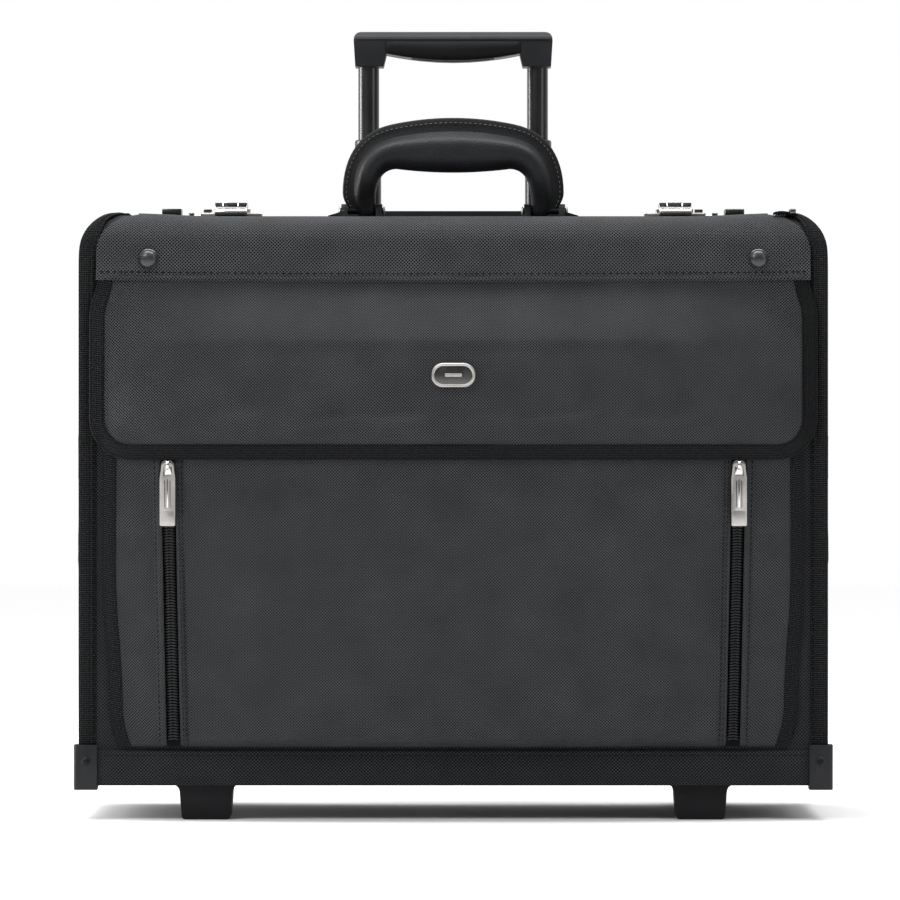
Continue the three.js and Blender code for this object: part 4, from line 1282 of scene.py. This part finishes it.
inner_edge, outer_edge = handle_edges()
body_rows, fin_rows, fin_line = [], [], []
for inside, outside in zip(inner_edge, outer_edge):
    across = outside - inside
    width = across.length
    across = Vector((across.x, 0, across.y)).normalized()
    fin = min(8.2 * MM, width * 0.3)
    start = Vector((inside.x, HANDLE_Y, inside.y))
    core = width - fin
    depth = handle_depth((inside.y + outside.y) / 2)
    loop = []
    for angle in spread(0, 360, 28)[:-1]:
        c, s = cosd(angle), sind(angle)
        bulge = abs(s) ** 0.86 * (1 if s > 0 else -1)
        shift = 0.5 - 0.5 * abs(c) ** 0.88 * (1 if c > 0 else -1)
        taper = 1 - 0.55 * smooth((shift - 0.72) / 0.28)
        loop.append(start + across * core * shift * 1.02 + Vector((0, depth * bulge * taper, 0)))
    body_rows.append(loop)
    edge = []
    for step, half in ((core * 0.86, 3.2), (core + fin * 0.15, 1.7), (core + fin * 0.45, 1.35),
                       (core + fin - 0.8 * MM, 1.25), (core + fin, 0.6)):
        edge.append((step, half * MM))
    ring = [start + across * step + Vector((0, -half, 0)) for step, half in edge]
    ring += [start + across * step + Vector((0, half, 0)) for step, half in edge[::-1]]
    fin_rows.append(ring)
    fin_line.append((start + across * (core + fin * 0.62), across))

handle = closed("handle_grip", body_rows, LEATHER, "carry_handle", True, ["carry_handle"])
sharpen(closed("handle_fin", fin_rows[2:-2], DARK_LEATHER, "carry_handle"), 60)
handle_thread = Stitching("handle_stitches", "carry_handle", PALE_THREAD, 3.1 * MM, 2.2 * MM, 0.55 * MM)
for facing in (-1, 1):
    handle_thread.along([p + Vector((0, facing * 1.4 * MM, 0)) for p, _ in fin_line[4:-4]],
                        [Vector((0, facing, 0))] * len(fin_line[4:-4]))
handle_thread.finish()

for hand, side in SIDES:
    refined(f"handle_bracket_{hand}", DARK_PLASTIC, 0.4)
    for place, out, x in (("inner", -1, LEG_IN - 4.9 * MM), ("outer", 1, LEG_OUT + 4.9 * MM)):
        at = Vector((side * x, HANDLE_Y, PIVOT_Z))
        lathe(f"pin_head_{hand}_{place}", PIN_HEAD, at, (side * out, 0, 0), PEWTER, "case", 24)

# ---- trolley
INSERT_HALF = 43.4
RIDGE_HALF = 62
SLEEVE_CORNER = 9 * MM
SLEEVE_SEAM_HALF = 68 * MM
cover_low, cover_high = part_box("trolley_cover")
cover_rows = []
x, y, radius = cover_high.x, cover_high.y, SLEEVE_CORNER
right = arc(x - radius, y - radius, radius, 90, 0, 7) + [(x, cover_low.y)]
left = [(-v, w) for v, w in right[::-1]]
for z in spread(cover_low.z, cover_high.z, 26):
    middle = hump((z - cover_low.z) / (cover_high.z - cover_low.z), 0.5)
    face = []
    for v in spread(-x + radius, x - radius, 26)[1:-1]:
        dent = 1.3 * MM * middle * smooth((46 * MM - abs(v)) / (30 * MM))
        face.append((v, y - dent))
    cover_rows.append([Vector((v, w, z)) for v, w in left + face + right])
channel_cover = strip("trolley_sleeve", cover_rows, BODY_CLOTH, "case", flip=True, replaces=["trolley_cover"])
thicken(channel_cover, 2.0 * MM, LINING)
sleeve_thread = Stitching("sleeve_stitches", "case")
for x in (cover_low.x + 7 * MM, cover_high.x - 7 * MM):
    line = [Vector((x, cover_high.y + 0.05 * MM, z)) for z in (cover_low.z + 6 * MM, cover_high.z - 6 * MM)]
    sleeve_thread.along(line, [Vector((0, 1, 0))] * 2)
for z in (cover_low.z + 5 * MM, cover_high.z - 5 * MM):
    line = [Vector((v, cover_high.y + 0.05 * MM, z)) for v in spread(-SLEEVE_SEAM_HALF, SLEEVE_SEAM_HALF, 2)]
    sleeve_thread.along(line, [Vector((0, 1, 0))] * 3)
sleeve_thread.finish()


def tube(name, node, radius, wall, material, body, collar=None):
    """A drawn tube with softened ends; collar = (radius, height) at its top."""
    low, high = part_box(node)
    length = (high.z - low.z) / MM
    profile = [(radius - wall, 0.2), (radius - wall / 2, 0), (radius, 0.5)]
    if collar:
        profile += [(radius, length - collar[1] - 0.4), (collar[0], length - collar[1]),
                    (collar[0], length - 1.2), (collar[0] - 0.7, length - 0.1), (radius - wall, length)]
    else:
        profile += [(radius, length - 0.5), (radius - wall / 2, length), (radius - wall, length - 0.2)]
    origin = Vector(((low.x + high.x) / 2, (low.y + high.y) / 2, low.z))
    lathe(name, profile, origin, (0, 0, 1), material, body, 48, [node])


for hand, _ in SIDES:
    tube(f"channel_tube_{hand}", f"base_tube_{hand}", 9.2, 0.9, DARK_METAL, "case")
    tube(f"stage_tube_{hand}", f"lower_tube_{hand}", 8.0, 1.0, GLOSS, "trolley_lower_stage", (8.9, 7.2))
    tube(f"grip_tube_{hand}", f"upper_tube_{hand}", 6.7, 0.9, GLOSS, "trolley_upper_stage")
refined("trolley_bezel", PLASTIC, 0.8, 3)
refined("trolley_grip", PLASTIC, 0.9, 3, 38)
refined("release_trigger", DARK_PLASTIC, 0.8, 3)

grip_low, grip_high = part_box("trolley_grip")
grip_top = grip_high.z / MM
for place, facing, y in (("front", -1, grip_low.y), ("back", 1, grip_high.y)):
    insert_rows = []
    for x in spread(-INSERT_HALF, INSERT_HALF, 30):
        under = grip_top - 18.9 + 4.7 * (x / INSERT_HALF) ** 2
        over = grip_top - 6.2
        loop = [(0.5, under), (-0.35, under + 0.5), (-0.35, over - 0.5), (0.5, over)]
        insert_rows.append([Vector((x * MM, y - facing * out * MM, z * MM)) for out, z in loop])
    closed(f"grip_insert_{place}", insert_rows, DARK_PLASTIC, "trolley_upper_stage", facing > 0)
    rounded_box(f"grip_ridge_{place}", (-RIDGE_HALF, y / MM - 0.45, grip_top - 5.8),
                (RIDGE_HALF, y / MM + 0.45, grip_top - 4.4), 0.4, PLASTIC, "trolley_upper_stage")

# ---- webbing pull on the right corner
PULL_Y = FRONT + 13 * MM
PULL_HALF = 4.5
pull_rows = []
for x, z in bezier([(196, 369.5), (202, 371.6), (209, 369.6), (217, 363.5)], 14):
    loop = [Vector((x, PULL_Y + v * MM, z + 1.6 * MM)) for v in spread(-PULL_HALF, PULL_HALF, 6)]
    loop += [Vector((p.x, p.y, p.z - 1.5 * MM)) for p in loop[::-1]]
    pull_rows.append(loop)
closed("corner_pull", pull_rows, TAPE_CLOTH, "case")
rounded_box("corner_pull_clip", (205.5, -71, 370.2), (209.5, -60, 373.2), 0.8, DARK_METAL, "case")

# ---- camera, floor, lights
scene = bpy.context.scene
FOCUS = 3.5
FIELD = 0.549
SENSOR = 36
EYE_X, EYE_Z = -0.002, 0.2257
camera = bpy.data.objects.new("camera", bpy.data.cameras.new("camera"))
camera.data.sensor_width = SENSOR
camera.data.lens = SENSOR * FOCUS / FIELD
camera.location = (EYE_X, FRONT - FOCUS, EYE_Z)
camera.rotation_euler = (pi / 2, 0, 0)
scene.collection.objects.link(camera)
scene.camera = camera

floor_mesh = bpy.data.meshes.new("floor")
reach = 6
corners = [(-reach, -reach, 0), (reach, -reach, 0), (reach, reach, 0), (-reach, reach, 0)]
floor_mesh.from_pydata(corners, [], [(0, 1, 2, 3)])
floor_paint = Finish("studio_floor", (0.96, 0.96, 0.96), 0.85)
paper = floor_paint.place("Object")[0]
floor_paint.vary(floor_paint.noise(paper, 14, 3), 0.7, 0.9)
floor_mesh.materials.append(floor_paint.material)
floor = bpy.data.objects.new("floor", floor_mesh)
scene.collection.objects.link(floor)

# A white studio: bright overhead, dark toward the camera, plain white where the camera looks.
world = bpy.data.worlds.new("studio")
sky = Nodes(world)
_, _, away, up = sky.place("Generated")
ambient = sky.tree.nodes["Background"]
overhead = sky.span(up, 0.12, 1.12, 0.25, 0.85, "SMOOTHSTEP")
behind = sky.span(away, 0, 0.62, -0.1, 0.6)
sky.link(sky.math("ADD", overhead, behind), ambient.inputs["Strength"])
backdrop = sky.node("Background")
for source in (ambient, backdrop):
    fill(source, Color=(1, 1, 1, 1))
mix = sky.node("MixShader")
sky.link(sky.node("LightPath").outputs["Is Camera Ray"], mix.inputs[0])
sky.link(ambient.outputs[0], mix.inputs[1])
sky.link(backdrop.outputs[0], mix.inputs[2])
sky.link(mix.outputs[0], sky.tree.nodes["World Output"].inputs["Surface"])
scene.world = world
scene.view_settings.view_transform = "Standard"


def softbox(name, place, target, size, power):
    """A rectangular light at a place, turned toward a target."""
    light = bpy.data.lights.new(name, "AREA")
    light.shape = "RECTANGLE"
    light.size, light.size_y = size
    light.energy = power
    lamp = bpy.data.objects.new(name, light)
    lamp.location = place
    aim = Vector(target) - Vector(place)
    lamp.rotation_euler = aim.to_track_quat("-Z", "Y").to_euler()
    scene.collection.objects.link(lamp)


softbox("key", (-0.85, -1.15, 1.2), (0, -0.05, 0.34), (0.7, 0.6), 9)
softbox("side", (-1.5, 0.3, 0.55), (0, 0.05, 0.32), (0.5, 1.2), 24)
softbox("fill", (1.7, -1.1, 0.9), (0, -0.05, 0.25), (0.8, 1.2), 5)
softbox("top", (0, -0.1, 1.7), (0, -0.05, 0.36), (1.7, 0.5), 24)
